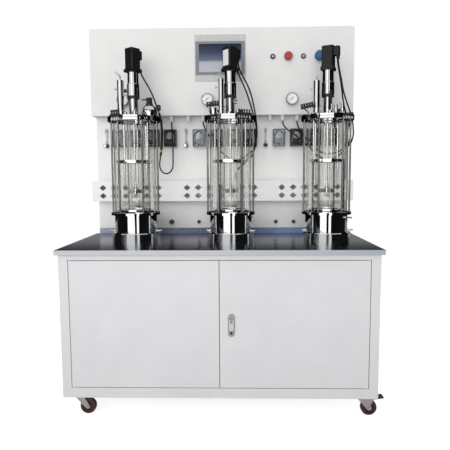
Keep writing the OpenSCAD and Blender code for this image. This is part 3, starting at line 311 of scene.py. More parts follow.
def makeGlass(name, color, roughness, ior, marks):
    finish, tree, shader = newFinish(name, color, 0.0, roughness)
    shader.inputs["Transmission Weight"].default_value = 1.0
    shader.inputs["IOR"].default_value = ior
    smears = pattern(tree, marks, 5, (1, 1, 0.3))
    smeared = between(tree, smears, roughness, roughness + 0.05, 0.5, 0.75)
    tree.links.new(smeared, shader.inputs["Roughness"])
    return finish


# color, roughness, index of refraction and how fine the smears are
glasses = {
    "vesselGlass": ((0.93, 0.935, 0.92), 0.0, 1.46, 14),
    "coverClear": ((0.95, 0.96, 0.97), 0.02, 1.20, 50),
    "lensClear": ((1.0, 1.0, 1.0), 0.0, 1.12, 60),
    "coverSmoke": ((0.78, 0.78, 0.79), 0.03, 1.20, 50),
    "meterGlass": ((0.95, 0.97, 0.97), 0.01, 1.46, 60),
    "acrylic": ((0.86, 0.87, 0.87), 0.06, 1.25, 60),
}
finishes.update({name: makeGlass(name, *values) for name, values in glasses.items()})


film = {"clouds": 5, "smears": 14, "grain": 400, "depth": 0.00003}


# bands of tone along one direction of the frame, from low to high, with faint cloudy patches
def makeBands(name, direction, low, high, stops, rough, cloud=0.03):
    finish, tree, shader = newFinish(name)
    place = tree.nodes.new("ShaderNodeTexCoord")
    split = tree.nodes.new("ShaderNodeSeparateXYZ")
    tree.links.new(place.outputs["Object"], split.inputs["Vector"])
    share = between(tree, split.outputs[direction], 0, 1, low, high)
    clouds = between(tree, pattern(tree, film["clouds"], 4), -cloud, cloud)
    total = tree.nodes.new("ShaderNodeMath")
    tree.links.new(share, total.inputs[0])
    tree.links.new(clouds, total.inputs[1])
    tree.links.new(tones(tree, total.outputs["Value"], stops), shader.inputs["Base Color"])
    smears = pattern(tree, film["smears"], 4)
    tree.links.new(between(tree, smears, *rough), shader.inputs["Roughness"])
    relief(tree, shader, pattern(tree, film["grain"], 2), film["depth"])
    return finish


panelLow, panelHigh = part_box("touch_panel")
topLow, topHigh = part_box("worktop")
panel = {
    "bezel": 138 * mm,                  # half its width, with a small margin
    "bezelDepth": 5 * mm,
    "screen": 76 * mm,                  # half its height
    "screenBack": 2 * mm,
}
panelX = (panelLow[0] + panelHigh[0]) / 2
panelZ = (panelLow[2] + panelHigh[2]) / 2
finishes["screenGlass"] = makeBands(
    "screenGlass", "Z", panelZ - panel["screen"], panelZ + panel["screen"],
    [(0.0, (0.47, 0.48, 0.52)), (0.34, (0.42, 0.43, 0.48)), (0.42, (0.12, 0.145, 0.23)),
     (0.70, (0.034, 0.050, 0.100)), (1.0, (0.014, 0.020, 0.036))], (0.10, 0.18), 0.004)
setGloss("screenGlass", 0.2)
# the upstand's film: its blue tint is the film's own colour, and its tone along X, dark in the
# middle and light at both ends, is painted reflection
finishes["upstandFilmWithPaintedReflection"] = makeBands(
    "upstandFilmWithPaintedReflection", "X", topLow[0], topHigh[0],
    [(0.0, (0.36, 0.38, 0.45)), (0.25, (0.20, 0.24, 0.36)), (0.5, (0.10, 0.125, 0.20)),
     (0.75, (0.20, 0.29, 0.50)), (1.0, (0.34, 0.46, 0.74))], (0.20, 0.34))
# the front edge's film: its own pale grey, darkening towards the right as painted shade
finishes["edgeFilmWithPaintedShade"] = makeBands(
    "edgeFilmWithPaintedShade", "X", topLow[0], topHigh[0],
    [(0.0, (0.50, 0.51, 0.54)), (0.4, (0.50, 0.51, 0.54)), (1.0, (0.36, 0.39, 0.44))],
    (0.28, 0.42))
print("finishes made:", len(finishes))


# a node's finishes: the first is for all its faces, until finishWhere gives some another one
def finishOf(node, *names):
    slots = nodes[node].data.materials
    slots.clear()
    for name in names:
        slots.append(finishes[name])
    for face in nodes[node].data.polygons:
        face.material_index = 0


# the test gets a face's middle and its normal
def finishWhere(node, index, test):
    mesh = nodes[node].data
    for face in mesh.polygons:
        if test(face.center, face.normal):
            face.material_index = index


nodeFinishes = {
    # the cabinet's coat carries painted shade, the wall's coat painted light, and the latch's two
    # coats painted shade and painted light
    "cabinet_body": "cabinetPaintWithPaintedShade", "left_door": "cabinetPaintWithPaintedShade", "right_door": "cabinetPaintWithPaintedShade",
    "worktop": "worktopSteel", "rear_housing": "wallPaintWithPaintedLight", "control_box": "housingPaint",
    "hose_rail": "railPaint", "touch_panel": "panelPlate", "vessel_bases": "polishedSteel",
    "glass_vessels": "vesselGlass", "head_plates": "polishedSteel", "tie_rods": "rodSteel",
    "baffle_cages": "polishedSteel", "seal_housings": "polishedSteel", "drive_motors": "motorCoat",
    "condensers": "polishedSteel", "head_fittings": "polishedSteel", "pump_bodies": "pumpMoulding",
    "head_gaskets": "gasketRubber", "spargers": "rodSteel", "flowmeters": "acrylic",
    "pressure_gauges": "darkChrome", "panel_fittings": "paleNylon",
    "castor_plates": "zincPlate", "inner_units": "unitCoat", "latch_plate": "latchPaintWithPaintedShade",
    "latch_spindle": "latchPaintWithPaintedShade", "latch_handle": "gripPaintWithPaintedLight", "brake_pedal": "blackMoulding",
    "stop_button": "stopMoulding", "blue_button": "blueMoulding",
}
for number in range(1, 13):
    nodeFinishes[f"pump_rotor_{number}"] = "rotorMoulding"
for number in range(1, 5):
    nodeFinishes[f"castor_fork_{number}"] = "zincPlate"
    nodeFinishes[f"castor_wheel_{number}"] = "wheelNylon"
for number in range(1, 4):
    nodeFinishes[f"stirrer_{number}"] = "shaftSteel"
    nodeFinishes[f"valve_knob_{number}"] = "darkChrome"
for number in (1, 2):
    nodeFinishes[f"key_barrel_{number}"] = "satinChrome"
for node, name in nodeFinishes.items():
    finishOf(node, name)

# where a second finish starts on a node
zones = {
    "knobCentre": 6 * mm,               # radius
    "turbine": 18 * mm,                 # what stands outside this radius
    "topEdge": 0.5 * mm,                # depth
    "upstand": 30 * mm,                 # height
    "lock": (3.9 * mm, 32 * mm),        # depth and height on the latch's plate
    "flat": 0.3 * mm,                   # how far a face may be from its plane
}


def facesFront(n):
    return n.y < -0.9


for number in (1, 2, 3):
    finishOf(f"valve_knob_{number}", "darkChrome", "brightChrome")
    knob = jointPlace[f"valve_turn_{number}"]
    finishWhere(f"valve_knob_{number}", 1, lambda c, n: n.y < -0.5 and
                math.hypot(c.x - knob.x, c.z - knob.z) < zones["knobCentre"])
for number, axis in enumerate(axes, 1):
    finishOf(f"stirrer_{number}", "shaftSteel", "bladeSteel")
    finishWhere(f"stirrer_{number}", 1,
                lambda c, n: math.hypot(c.x - axis.x, c.y - axis.y) > zones["turbine"])

# the worktop's front edge and upstand take the films above, with their painted shade and painted
# reflection
finishOf("worktop", "worktopSteel", "edgeFilmWithPaintedShade", "upstandFilmWithPaintedReflection")
finishWhere("worktop", 1, lambda c, n: facesFront(n) and c.y < topLow[1] + zones["topEdge"])
finishWhere("worktop", 2, lambda c, n: facesFront(n) and c.z > topHigh[2] - zones["upstand"])


def isBezel(c, n):
    return c.y < panelLow[1] + panel["bezelDepth"] and abs(c.x - panelX) < panel["bezel"]


def isScreen(c, n):
    return facesFront(n) and abs(c.y - panelLow[1] - panel["screenBack"]) < zones["flat"]


finishOf("touch_panel", "panelPlate", "panelMoulding", "screenGlass")
finishWhere("touch_panel", 1, isBezel)
finishWhere("touch_panel", 2, isScreen)

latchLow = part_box("latch_plate")[0]
lockDepth, lockHeight = zones["lock"]
finishOf("latch_plate", "latchPaintWithPaintedShade", "blackMoulding")
finishWhere("latch_plate", 1, lambda c, n: c.y < latchLow[1] + lockDepth and
            c.z < latchLow[2] + lockHeight and n.y < 0.5)


# a place on a vessel's head: the vessel's index and the place from its axis and its lid
def onHead(c):
    i = min((0, 1, 2), key=lambda k: abs(c.x - axes[k].x))
    return i, c.x - axes[i].x, c.y - axes[i].y, c.z - lidZ


head = {
    "rim": 139 * mm,                    # what stands outside it is black
    "rimFoot": -12 * mm,
    "probes": (64 * mm, 10 * mm, (20, 160)),    # distance, radius and turns in degrees
    "probeCap": 14.5 * mm,
    "sealRing": (97.5 * mm, 110.5 * mm, 24 * mm),   # foot, top and the radius inside it
    "sealKnobs": 36 * mm,               # what stands outside this radius
    "baffles": (20 * mm, 240 * mm),     # foot and top, from the foot of the cage
    # black pieces of each vessel: place, radius, the height that they start from and its slope
    "black": (((92, -45, 20, 56.2, 0), (58, -45, 20, 80, 0), (141, -45, 17, 28, 0)),
              ((-90, -36, 42, 49, 6),),
              ((-117, -70, 42, 31, 12), (8, -44, 12, 9, 0))),
}


def isBlackFitting(c, n):
    i, x, y, z = onHead(c)
    if math.hypot(x, y) > head["rim"] and z > head["rimFoot"]:
        return True
    at, r, turns = head["probes"]
    for turn in turns:
        a = math.radians(turn)
        if math.hypot(x - at * math.cos(a), y - at * math.sin(a)) < r and z > head["probeCap"]:
            return True
    for px, py, pr, pz, slope in head["black"][i]:
        start = pz * mm + (x - px * mm) * math.tan(math.radians(slope))
        if math.hypot(x - px * mm, y - py * mm) < pr * mm and z > start:
            return True
    return False


def isSealRing(c, n):
    i, x, y, z = onHead(c)
    r = math.hypot(x, y)
    low, high, core = head["sealRing"]
    return (low < z < high and r > core) or r > head["sealKnobs"]


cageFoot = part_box("baffle_cages")[0][2]
baffleLow, baffleHigh = [cageFoot + height for height in head["baffles"]]
finishOf("baffle_cages", "polishedSteel", "baffleSteel")
finishWhere("baffle_cages", 1, lambda c, n: baffleLow < c.z < baffleHigh)
finishOf("head_fittings", "polishedSteel", "blackMoulding")
finishWhere("head_fittings", 1, isBlackFitting)
finishOf("seal_housings", "polishedSteel", "blackMoulding")
finishWhere("seal_housings", 1, isSealRing)

fittings = {
    "panelFoot": 1.7,                   # the key collars are above it
    "portTop": 0.95,                    # the wall ports are below it
    "secondPort": -0.25,                # the ports on its right have a pale ring
    "ring": (3.5 * mm, 0.5 * mm),       # its front and its back, from the housing's wall
}
wallY = topHigh[1]
ringFront, ringBack = fittings["ring"]


def isCollar(c, n):
    return c.z > fittings["panelFoot"] or c.z < fittings["portTop"]


def isPortRing(c, n):
    return (c.z < fittings["portTop"] and c.x > fittings["secondPort"] and facesFront(n) and
            wallY - ringFront < c.y < wallY + ringBack)


finishOf("panel_fittings", "paleNylon", "blackMoulding", "portRing")
finishWhere("panel_fittings", 1, isCollar)
finishWhere("panel_fittings", 2, isPortRing)

# the first pump of each group is blue-grey, and a meter's blocks differ from its tube
pumpHalf = 40 * mm
firstPumps = [jointPlace[f"rotor_turn_{number}"].x for number in (1, 5, 9)]
finishOf("pump_bodies", "pumpMoulding", "coverBlue")
finishWhere("pump_bodies", 1, lambda c, n: any(abs(c.x - x) < pumpHalf for x in firstPumps))
finishOf("flowmeters", "acrylic", "rotorMoulding", "meterGlass")
meterLow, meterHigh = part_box("flowmeters")
meterBlock = 20.5 * mm
finishWhere("flowmeters", 1, lambda c, n: c.z > meterHigh[2] - meterBlock)
finishWhere("flowmeters", 2,
            lambda c, n: meterLow[2] + meterBlock < c.z < meterHigh[2] - meterBlock)
print("frame nodes finished:", len(nodeFinishes))


# --- mesh helpers for the added pieces

def addPiece(name, points, faces, finishNames, slotName, indices=None, flat=False):
    mesh = bpy.data.meshes.new(name)
    mesh.from_pydata([tuple(p) for p in points], [], faces)
    mesh.update()
    for finishName in finishNames:
        mesh.materials.append(finishes[finishName])
    for i, face in enumerate(mesh.polygons):
        face.material_index = indices[i] if indices else 0
        face.use_smooth = not flat
    piece = bpy.data.objects.new(name, mesh)
    scene.collection.objects.link(piece)
    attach(piece, "frame")
    return piece


# the faces between rings of n points; a closed band ends where it starts
def bandFaces(count, n, closed=False):
    faces = []
    for k in range(count - 1):
        for i in range(n):
            a = k * n + i
            b = k * n + (i + 1) % n
            faces.append((a, b, b + n, a + n))
    last = (count - 1) * n
    if closed:
        faces += [(last + i, last + (i + 1) % n, (i + 1) % n, i) for i in range(n)]
    return faces


# the faces that close the first and the last ring
def endFaces(count, n):
    last = (count - 1) * n
    return [tuple(reversed(range(n))), tuple(range(last, last + n))]


# a rectangle round the origin with rounded corners
def roundedOutline(w, h, r):
    steps = 6
    outline = []
    for cx, cz, start in ((w / 2 - r, h / 2 - r, 0), (r - w / 2, h / 2 - r, 90),
                          (r - w / 2, r - h / 2, 180), (w / 2 - r, r - h / 2, 270)):
        for i in range(steps + 1):
            a = math.radians(start + 90 * i / steps)
            outline.append((cx + r * math.cos(a), cz + r * math.sin(a)))
    return outline


# layers of one outline in the XZ plane, as (scale across, scale up, y) steps, closed at both ends
def stackPiece(outline, centre, layers):
    n = len(outline)
    x0, z0 = centre
    points = [(x0 + x * sx, y, z0 + z * sz) for sx, sz, y in layers for x, z in outline]
    faces = bandFaces(len(layers), n)
    faces += [tuple(reversed(face)) for face in endFaces(len(layers), n)]
    return points, faces


# a profile of (radius, distance) steps turned round an axis that starts at a place; a ring's
# profile closes on itself
def turned(profile, place, axis, sides, ring=False):
    axis = Vector(axis).normalized()
    across = axis.orthogonal().normalized()
    over = axis.cross(across)
    place = Vector(place)
    points = []
    for r, d in profile:
        for i in range(sides):
            a = 2 * math.pi * i / sides
            points.append(place + axis * d + (across * math.cos(a) + over * math.sin(a)) * r)
    faces = bandFaces(len(profile), sides, ring)
    if not ring:
        faces += endFaces(len(profile), sides)
    return points, faces


# a round tube along points, with its ends closed
def tubeAlong(points, radius, sides):
    points = [Vector(p) for p in points]
    rings = []
    across = None
    for i, point in enumerate(points):
        along = (points[min(i + 1, len(points) - 1)] - points[max(i - 1, 0)]).normalized()
        if across is None:
            across = along.orthogonal().normalized()
        across = (across - along * across.dot(along)).normalized()
        over = along.cross(across)
        for k in range(sides):
            a = 2 * math.pi * k / sides
            rings.append(point + (across * math.cos(a) + over * math.sin(a)) * radius)
    return rings, bandFaces(len(points), sides) + endFaces(len(points), sides)


# several meshes in one, each with its material index
def joined(*parts):
    points, faces, indices = [], [], []
    for (morePoints, moreFaces), index in parts:
        start = len(points)
        points += morePoints
        faces += [tuple(start + i for i in face) for face in moreFaces]
        indices += [index] * len(moreFaces)
    return points, faces, indices


# --- leads as curves

# a sleeve with a tie round the lower run of a lead
def addSleeve(name, points):
    r = leads["sleeve"]
    fine = []
    for a, b in zip(points, points[1:]):
        fine += [a.lerp(b, k / 6) for k in range(6)]
    at = int(len(fine) * leads["tieShare"])
    height, length, bevel = leads["tie"]
    tie = turned([(r, 0), (r + height, bevel), (r + height, length - bevel), (r, length)],
                 fine[at], fine[at + 1] - fine[at], 20)
    points, faces, indices = joined((tubeAlong(fine, r, 16), 0), (tie, 1))
    return addPiece(name, points, faces, ["leadSheath", "earthYellow"], "lead_black", indices)


def addLead(name, route):
    curve = bpy.data.curves.new(name, "CURVE")
    curve.dimensions = "3D"
    curve.bevel_depth = leads["diameter"] / 2
    curve.bevel_resolution = 4
    curve.resolution_u = 8
    curve.use_fill_caps = True
    spline = curve.splines.new("BEZIER")
    spline.bezier_points.add(len(route) - 1)
    points = [Vector(p) * mm for p in route]
    for i, point in enumerate(spline.bezier_points):
        before = points[max(i - 1, 0)]
        after = points[min(i + 1, len(points) - 1)]
        point.handle_left_type = point.handle_right_type = "FREE"
        point.co = points[i]
        point.handle_left = points[i] - (after - before) / 6
        point.handle_right = points[i] + (after - before) / 6
    piece = bpy.data.objects.new(name, curve)
    scene.collection.objects.link(piece)
    curve.materials.append(finishes["leadSheath"])
    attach(piece, "frame")
    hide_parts(leads["node"])
    extra = ()
    if name == leads["sleeveOn"]:
        first, last = leads["sleeveRun"]
        extra = (addSleeve("lead_sleeve", points[first:last]),)


for name, (length, route) in leads["routes"].items():
    addLead(name, route)
print("leads laid:", len(leads["routes"]))


# --- pump tubes and covers

pumps = {
    "tube": 2.3 * mm,                   # radius
    "tubeTurn": 26.4 * mm,
    "tubeBack": 15 * mm,                # from the body's front
    "tubeFoot": 11 * mm,                # from the body's foot
    "tubeStep": 12,                     # degrees
    "cover": (67 * mm, 94 * mm, 6 * mm),    # width, height and corner
    "coverDepth": 3.2 * mm,
    "frame": 3.4 * mm,
    # rings of the frame: at its outer edge or not, share of the depth and of the outline
    "frameRings": ((True, 0, 1), (True, 0.7, 1), (True, 1, 0.985), (False, 1, 1),
                   (False, 0.6, 1), (False, 0, 1)),
    "pane": (0.55, 0.2),                # shares of the depth
    "knob": ((4.5 * mm, 0), (4.5 * mm, 3 * mm), (3.4 * mm, 4.4 * mm), (0.4 * mm, 4.6 * mm)),
    "knobFoot": 10 * mm,                # from the cover's foot
}
bodyLow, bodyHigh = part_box("pump_bodies")


def addPumpTube(number, x, z):
    r = pumps["tubeTurn"]
    y = bodyLow[1] + pumps["tubeBack"]
    foot = bodyLow[2] + pumps["tubeFoot"]
    path = [(x - r, y, foot), (x - r, y, (foot + z) / 2)]
    path += [(x + r * math.cos(math.radians(a)), y, z + r * math.sin(math.radians(a)))
             for a in range(180, -1, -pumps["tubeStep"])]
    path += [(x + r, y, (foot + z) / 2), (x + r, y, foot)]
    points, faces = tubeAlong(path, pumps["tube"], 10)
    addPiece(f"pump_tube_{number}", points, faces, ["hoseSilicone"], "fitting_plastic")


def addPumpCover(number, x):
    w, h, corner = pumps["cover"]
    wall = pumps["frame"]
    depth = pumps["coverDepth"]
    middle = (bodyLow[2] + bodyHigh[2]) / 2
    front = bodyLow[1]
    outer = roundedOutline(w, h, corner)
    inner = roundedOutline(w - 2 * wall, h - 2 * wall, corner / 2)
    points = []
    for isOuter, share, k in pumps["frameRings"]:
        points += [(x + px * k, front - depth * share, middle + pz * k)
                   for px, pz in (outer if isOuter else inner)]
    frameMesh = (points, bandFaces(len(pumps["frameRings"]), len(outer), closed=True))
    pane = stackPiece(inner, (x, middle), [(1, 1, front - depth * at) for at in pumps["pane"]])
    knob = turned(pumps["knob"], (x, front - depth / 2, middle - h / 2 + pumps["knobFoot"]),
                  (0, -1, 0), 20)
    points, faces, indices = joined((frameMesh, 0), (pane, 1), (knob, 2))
    clear = "coverClear" if number % 4 == 1 else "coverSmoke"
    cover = addPiece(f"pump_cover_{number}", points, faces,
                     ["pumpMoulding", clear, "blackMoulding"], "pump_black", indices)
    cover.visible_shadow = False


for number in range(1, 13):
    rotor = jointPlace[f"rotor_turn_{number}"]
    addPumpTube(number, rotor.x, rotor.z)
    addPumpCover(number, rotor.x)
print("pumps dressed")


# --- gauges: dial, marks, pointer and lens

gauges = {
    "fromPump": (47 * mm, 55 * mm, 65 * mm),    # each gauge's place from its group's first pump
    "recess": 4 * mm,                   # from the front of the node to the back of the dial
    "dial": 28.6 * mm,                  # radius
    "card": 1.1 * mm,                   # thickness
    "bevel": (0.5 * mm, 0.2 * mm),
    "middle": 0.3 * mm,                 # radius of the smallest ring
    "marks": 25,
    "longEvery": 6,
    "markStart": (0.70, 0.78),          # shares of the radius, long and short
    "markEnd": 0.9,
    "markWidth": (0.55 * mm, 0.45 * mm),
    "markDepth": 0.25 * mm,
    "sweep": 270,
    "turns": (-130, -128, -131),        # degrees, close to the dials' zero
    "pointer": (0.82, 1.8 * mm, 0.45),  # share of the radius, half its width, its tail's share
    "pointerDepth": 0.8 * mm,
    "pointerGap": 0.4 * mm,
    "hub": ((2.2 * mm, 0), (2.2 * mm, 0.8 * mm), (1.2 * mm, 1.2 * mm), (0.2 * mm, 1.2 * mm)),
    "hubGap": 0.1 * mm,
    # the lens: shares of the radius with their height, from the edge inwards, and its middle
    "lens": ((1, 0), (1, 0.5 * mm), (0.86, 0.9 * mm), (0.5, 1.2 * mm)),
    "lensTop": 1.3 * mm,
    "lensGap": 2.75 * mm,
}


# a flat pointer from its tail to its point, and a turn of 0 points up
def needle(x, y, z, turn, length, halfWidth, tail):
    a = math.radians(turn)
    points = []
    for along, share in ((-tail, 0.9), (0, 1), (length * 0.75, 0.45), (length, 0.08)):
        half = halfWidth * share
        for side in (-1, 1):
            px = math.sin(a) * along + math.cos(a) * side * half
            pz = math.cos(a) * along - math.sin(a) * side * half
            points += [(x + px, y, z + pz), (x + px, y - gauges["pointerDepth"], z + pz)]
    faces = []
    for k in range(3):
        a = 4 * k
        for i, j in ((0, 1), (1, 3), (3, 2), (2, 0)):
            faces.append((a + i, a + j, a + 4 + j, a + 4 + i))
    faces.append((0, 2, 3, 1))
    faces.append((12, 13, 15, 14))
    return points, faces


def addGauge(number, x):
    low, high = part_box("pressure_gauges")
    z = (low[2] + high[2]) / 2
    back = low[1] + gauges["recess"]
    r = gauges["dial"]
    card = gauges["card"]
    middle = gauges["middle"]
    across, along = gauges["bevel"]
    front = (0, -1, 0)
    dial = turned([(r, 0), (r, card - along), (r - across, card), (middle, card)],
                  (x, back, z), front, 48)
    parts = [(dial, 0)]
    for i in range(gauges["marks"]):
        turn = -gauges["sweep"] / 2 + gauges["sweep"] * i / (gauges["marks"] - 1)
        kind = 0 if i % gauges["longEvery"] == 0 else 1
        a = math.radians(turn)
        start = r * gauges["markStart"][kind]
        points, faces = needle(x + math.sin(a) * start, back - card, z + math.cos(a) * start, turn,
                               r * gauges["markEnd"] - start, gauges["markWidth"][kind], 0)
        top = back - card - gauges["markDepth"]
        parts.append((([(p[0], max(p[1], top), p[2]) for p in points], faces), 1))
    reach, half, tail = gauges["pointer"]
    parts.append((needle(x, back - card - gauges["pointerGap"], z, gauges["turns"][number - 1],
                         r * reach, half, r * tail), 1))
    parts.append((turned(gauges["hub"], (x, back - card - gauges["hubGap"], z), front, 20), 1))
    points, faces, indices = joined(*parts)
    addPiece(f"gauge_dial_{number}", points, faces, ["dialCard", "blackMoulding"], "chrome",
             indices, flat=True)
    profile = [(r * share, at) for share, at in gauges["lens"]] + [(middle, gauges["lensTop"])]
    lens = turned(profile, (x, back - gauges["lensGap"], z), front, 48)
    cover = addPiece(f"gauge_lens_{number}", *lens, ["lensClear"], "meter_clear")
    cover.visible_shadow = False


for number, (pumpX, aside) in enumerate(zip(firstPumps, gauges["fromPump"]), 1):
    addGauge(number, pumpX + aside)
print("gauges dressed")


# --- motor plate, flowmeter floats and port nut

motors = {
    "turn": 41,                         # the middle motor's turn, in degrees
    "half": 30 * mm,                    # half its width
    "plate": (43 * mm, 80 * mm, 0.6 * mm),      # width, height and thickness
    "plateCorner": 3 * mm,
    "plateMiddle": 55 * mm,             # below the motor's top
}


def addMotorPlate():
    w, h, t = motors["plate"]
    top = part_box("drive_motors")[1][2]
    outline = roundedOutline(w, h, motors["plateCorner"])
    points, faces = stackPiece(outline, (0, 0), [(1, 1, 0), (1, 1, t * 0.6), (0.97, 0.985, t)])
    turn = Matrix.Rotation(math.radians(motors["turn"] - 180), 4, "Z")
    out = turn @ Vector((1, 0, 0))
    side = turn @ Vector((0, 1, 0))
    start = Vector((axes[1].x, axes[1].y, top - motors["plateMiddle"])) + out * motors["half"]
    placed = [start + out * p[1] + side * p[0] + Vector((0, 0, p[2])) for p in points]
    addPiece("motor_plate", placed, faces, ["plateFilm"], "panel_grey", flat=True)


addMotorPlate()

floats = {
    "aside": 4 * mm,                    # from the valve knob's axis
    "ahead": 11 * mm,                   # from the wall
    "above": 25 * mm,                   # from the meter's foot
    "profile": ((0.8 * mm, 0), (1.2 * mm, 3 * mm), (2.7 * mm, 7 * mm), (2.7 * mm, 9 * mm),
                (1.6 * mm, 9.6 * mm), (0.3 * mm, 9.6 * mm)),
}
for number in (1, 2, 3):
    knob = jointPlace[f"valve_turn_{number}"]
    place = (knob.x + floats["aside"], wallY - floats["ahead"], meterLow[2] + floats["above"])
    points, faces = turned(floats["profile"], place, (0, 0, 1), 24)
    addPiece(f"meter_float_{number}", points, faces, ["floatMoulding"], "meter_clear")

portNut = {
    "place": Vector(frame["record"]["mounts"][0]["pos_m"]),
    "ahead": 19 * mm,                   # from the middle of the port to the back of its ring
    "inner": 9.1 * mm,
    "outer": 10.6 * mm,
    "length": 3.4 * mm,
    "bevel": 0.4 * mm,
}


def addPortNut():
    inner, outer = portNut["inner"], portNut["outer"]
    length, bevel = portNut["length"], portNut["bevel"]
    profile = [(inner, 0), (outer - bevel, 0), (outer, bevel), (outer, length - bevel),
               (outer - bevel, length), (inner, length)]
    place = portNut["place"] - Vector((0, portNut["ahead"], 0))
    points, faces = turned(profile, place, (0, -1, 0), 32, ring=True)
    addPiece("port_nut", points, faces, ["brightChrome"], "chrome")


addPortNut()
print("small pieces added")


# --- studio: white background, soft lamps, a pale floor, and cards that only polished metal sees

studio = {
    "skyLight": 0.50,                   # what matt surfaces get from all round
    "floorHalf": 2.6,
    "lamps": {
        "window": {"place": (-3.3, -3.6, 2.3), "aim": (0.1, 0, 1.1), "size": (1.9, 1.9),
                   "power": 26},
        "ceiling": {"place": (-0.4, -1.8, 4.4), "aim": (0, -0.1, 0.8), "size": (3.0, 2.0),
                    "power": 18},
    },
    "daylight": {"from": (-0.16, -1.0, 0.12), "strength": 1.40, "spread": 50},
    # brightness that polished metal sees round the horizon: behind the object at 0 and 1, on the
    # left at 0.25, in front at 0.5 and on the right at 0.75
    "horizon": [(0.0, 0.32), (0.15, 0.30), (0.20, 0.006), (0.5, 0.004), (0.80, 0.006), (0.85, 0.30),
                (1.0, 0.32)],
    # each card: its two ends in plan, its foot and its top
    "cards": [((-4.0, -5.0), (-0.16, -5.0), 0, 4.2), ((0.86, -5.0), (1.97, -5.0), 0, 4.2),
              ((-0.16, -5.0), (0.86, -5.0), 1.80, 2.16), ((-5.6, -5.0), (-4.0, -5.0), 1.80, 2.16),
              ((-5.0, -2.4), (-5.0, -4.8), 2.30, 4.2)],
    "cardLight": 1.3,
    # a dark sheet behind the vessels, which only polished pieces in front of it see
    "flag": {"y": 0.165, "half": 1.5, "low": 0.87, "high": 1.90},
    "zenith": 0.70,                     # brightness that polished metal sees overhead
    "zenithFrom": (0.50, 0.72),         # how steeply a mirrored ray has to rise
    "floorLight": 0.72,                 # what the camera sees of it on top of the lamps
}


def addWorld():
    world = bpy.data.worlds.new("studio")
    world.use_nodes = True
    scene.world = world
    tree = world.node_tree
    back = tree.nodes["Background"]
    direction = tree.nodes.new("ShaderNodeTexCoord")
    split = tree.nodes.new("ShaderNodeSeparateXYZ")
    tree.links.new(direction.outputs["Generated"], split.inputs["Vector"])

    def calc(kind, a, b=None):
        step = tree.nodes.new("ShaderNodeMath")
        step.operation = kind
        for slot, value in enumerate((a, b)):
            if value is None:
                continue
            if isinstance(value, (int, float)):
                step.inputs[slot].default_value = value
            else:
                tree.links.new(value, step.inputs[slot])
        return step.outputs["Value"]

    turn = calc("ARCTAN2", split.outputs["X"], calc("MULTIPLY", split.outputs["Y"], -1))
    share = calc("ADD", calc("DIVIDE", turn, 2 * math.pi), 0.5)
    bands = tones(tree, share, [(at, (b, b, b)) for at, b in studio["horizon"]])
    path = tree.nodes.new("ShaderNodeLightPath")
    seen = calc("MAXIMUM", path.outputs["Is Camera Ray"], path.outputs["Is Transmission Ray"])
    plain = tree.nodes.new("ShaderNodeMix")
    plain.data_type = "RGBA"
    plain.inputs["A"].default_value = (studio["skyLight"],) * 3 + (1,)
    plain.inputs["B"].default_value = (1, 1, 1, 1)
    tree.links.new(seen, plain.inputs["Factor"])
    glossy = tree.nodes.new("ShaderNodeMix")
    glossy.data_type = "RGBA"
    tree.links.new(path.outputs["Is Glossy Ray"], glossy.inputs["Factor"])
    tree.links.new(plain.outputs["Result"], glossy.inputs["A"])
    upper = tree.nodes.new("ShaderNodeMix")
    upper.data_type = "RGBA"
    high = between(tree, split.outputs["Z"], 0, 1, *studio["zenithFrom"])
    tree.links.new(high, upper.inputs["Factor"])
    tree.links.new(bands, upper.inputs["A"])
    upper.inputs["B"].default_value = (studio["zenith"],) * 3 + (1,)
    tree.links.new(upper.outputs["Result"], glossy.inputs["B"])
    tree.links.new(glossy.outputs["Result"], back.inputs["Color"])


def addLamp(name, lamp):
    data = bpy.data.lights.new(name, "AREA")
    data.shape = "RECTANGLE"
    data.size, data.size_y = lamp["size"]
    data.energy = lamp["power"]
    piece = bpy.data.objects.new(name, data)
    scene.collection.objects.link(piece)
    piece.location = lamp["place"]
    away = Vector(lamp["place"]) - Vector(lamp["aim"])
    piece.rotation_mode = "QUATERNION"
    piece.rotation_quaternion = away.to_track_quat("Z", "Y")
    piece.visible_glossy = False


def addDaylight():
    daylight = studio["daylight"]
    data = bpy.data.lights.new("daylight", "SUN")
    data.energy = daylight["strength"]
    data.angle = math.radians(daylight["spread"])
    piece = bpy.data.objects.new("daylight", data)
    scene.collection.objects.link(piece)
    piece.rotation_mode = "QUATERNION"
    piece.rotation_quaternion = Vector(daylight["from"]).to_track_quat("Z", "Y")
    piece.visible_glossy = False


def addSheet(name, corners, finish):
    mesh = bpy.data.meshes.new(name)
    mesh.from_pydata(corners, [], [(0, 1, 2, 3)])
    mesh.materials.append(finish)
    sheet = bpy.data.objects.new(name, mesh)
    scene.collection.objects.link(sheet)
    return sheet


# only mirrored rays see it
def addHiddenSheet(name, corners, finish):
    sheet = addSheet(name, corners, finish)
    sheet.visible_camera = False
    sheet.visible_diffuse = False
    sheet.visible_transmission = False
    sheet.visible_shadow = False


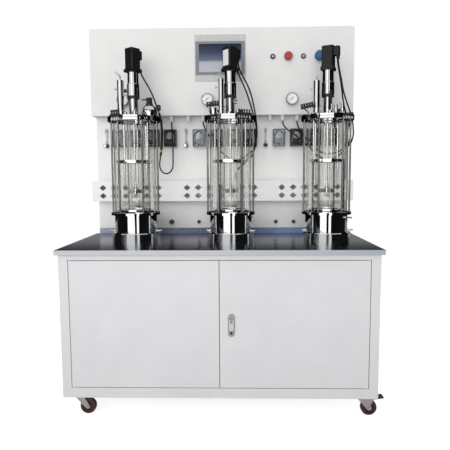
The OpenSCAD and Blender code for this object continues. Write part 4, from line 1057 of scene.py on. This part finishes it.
# the camera sees a floor as white as the background, with the object's soft shadow
def addFloor():
    finish, tree, shader = newFinish("floorPaint", (0.86, 0.86, 0.86), 0.0, 0.7)
    path = tree.nodes.new("ShaderNodeLightPath")
    patches = tones(tree, pattern(tree, 3, 4),
                    [(0.3, (0.85, 0.85, 0.85)), (0.7, (0.88, 0.88, 0.88))])
    tree.links.new(patches, shader.inputs["Base Color"])
    lift = tree.nodes.new("ShaderNodeMath")
    lift.operation = "MULTIPLY"
    lift.inputs[1].default_value = studio["floorLight"]
    tree.links.new(path.outputs["Is Camera Ray"], lift.inputs[0])
    shader.inputs["Emission Color"].default_value = (1, 1, 1, 1)
    tree.links.new(lift.outputs["Value"], shader.inputs["Emission Strength"])
    half = studio["floorHalf"]
    addSheet("floor", [(-half, -half, 0), (half, -half, 0), (half, half, 0), (-half, half, 0)],
             finish)


def addCards():
    finish, tree, shader = newFinish("cardWhite", (0, 0, 0), 0.0, 1.0)
    shader.inputs["Emission Color"].default_value = (1, 1, 1, 1)
    shader.inputs["Emission Strength"].default_value = studio["cardLight"]
    for number, (left, right, low, high) in enumerate(studio["cards"], 1):
        corners = [(*left, low), (*right, low), (*right, high), (*left, high)]
        addHiddenSheet(f"card_{number}", corners, finish)


def addFlag():
    flag = studio["flag"]
    finish, tree, shader = newFinish("flagDark", (0.004, 0.004, 0.004), 0.0, 1.0)
    shader.inputs["Specular IOR Level"].default_value = 0
    side = tree.nodes.new("ShaderNodeNewGeometry")
    clear = tree.nodes.new("ShaderNodeBsdfTransparent")
    mixed = tree.nodes.new("ShaderNodeMixShader")
    tree.links.new(side.outputs["Backfacing"], mixed.inputs["Fac"])
    tree.links.new(shader.outputs["BSDF"], mixed.inputs[1])
    tree.links.new(clear.outputs["BSDF"], mixed.inputs[2])
    tree.links.new(mixed.outputs["Shader"], tree.nodes["Material Output"].inputs["Surface"])
    x, y, low, high = flag["half"], flag["y"], flag["low"], flag["high"]
    addHiddenSheet("flag", [(-x, y, low), (x, y, low), (x, y, high), (-x, y, high)], finish)


addWorld()
for name, lamp in studio["lamps"].items():
    addLamp(name, lamp)
addDaylight()
addFloor()
addCards()
addFlag()
for node in ("glass_vessels", "baffle_cages", "tie_rods"):
    nodes[node].visible_shadow = False
print("studio set")
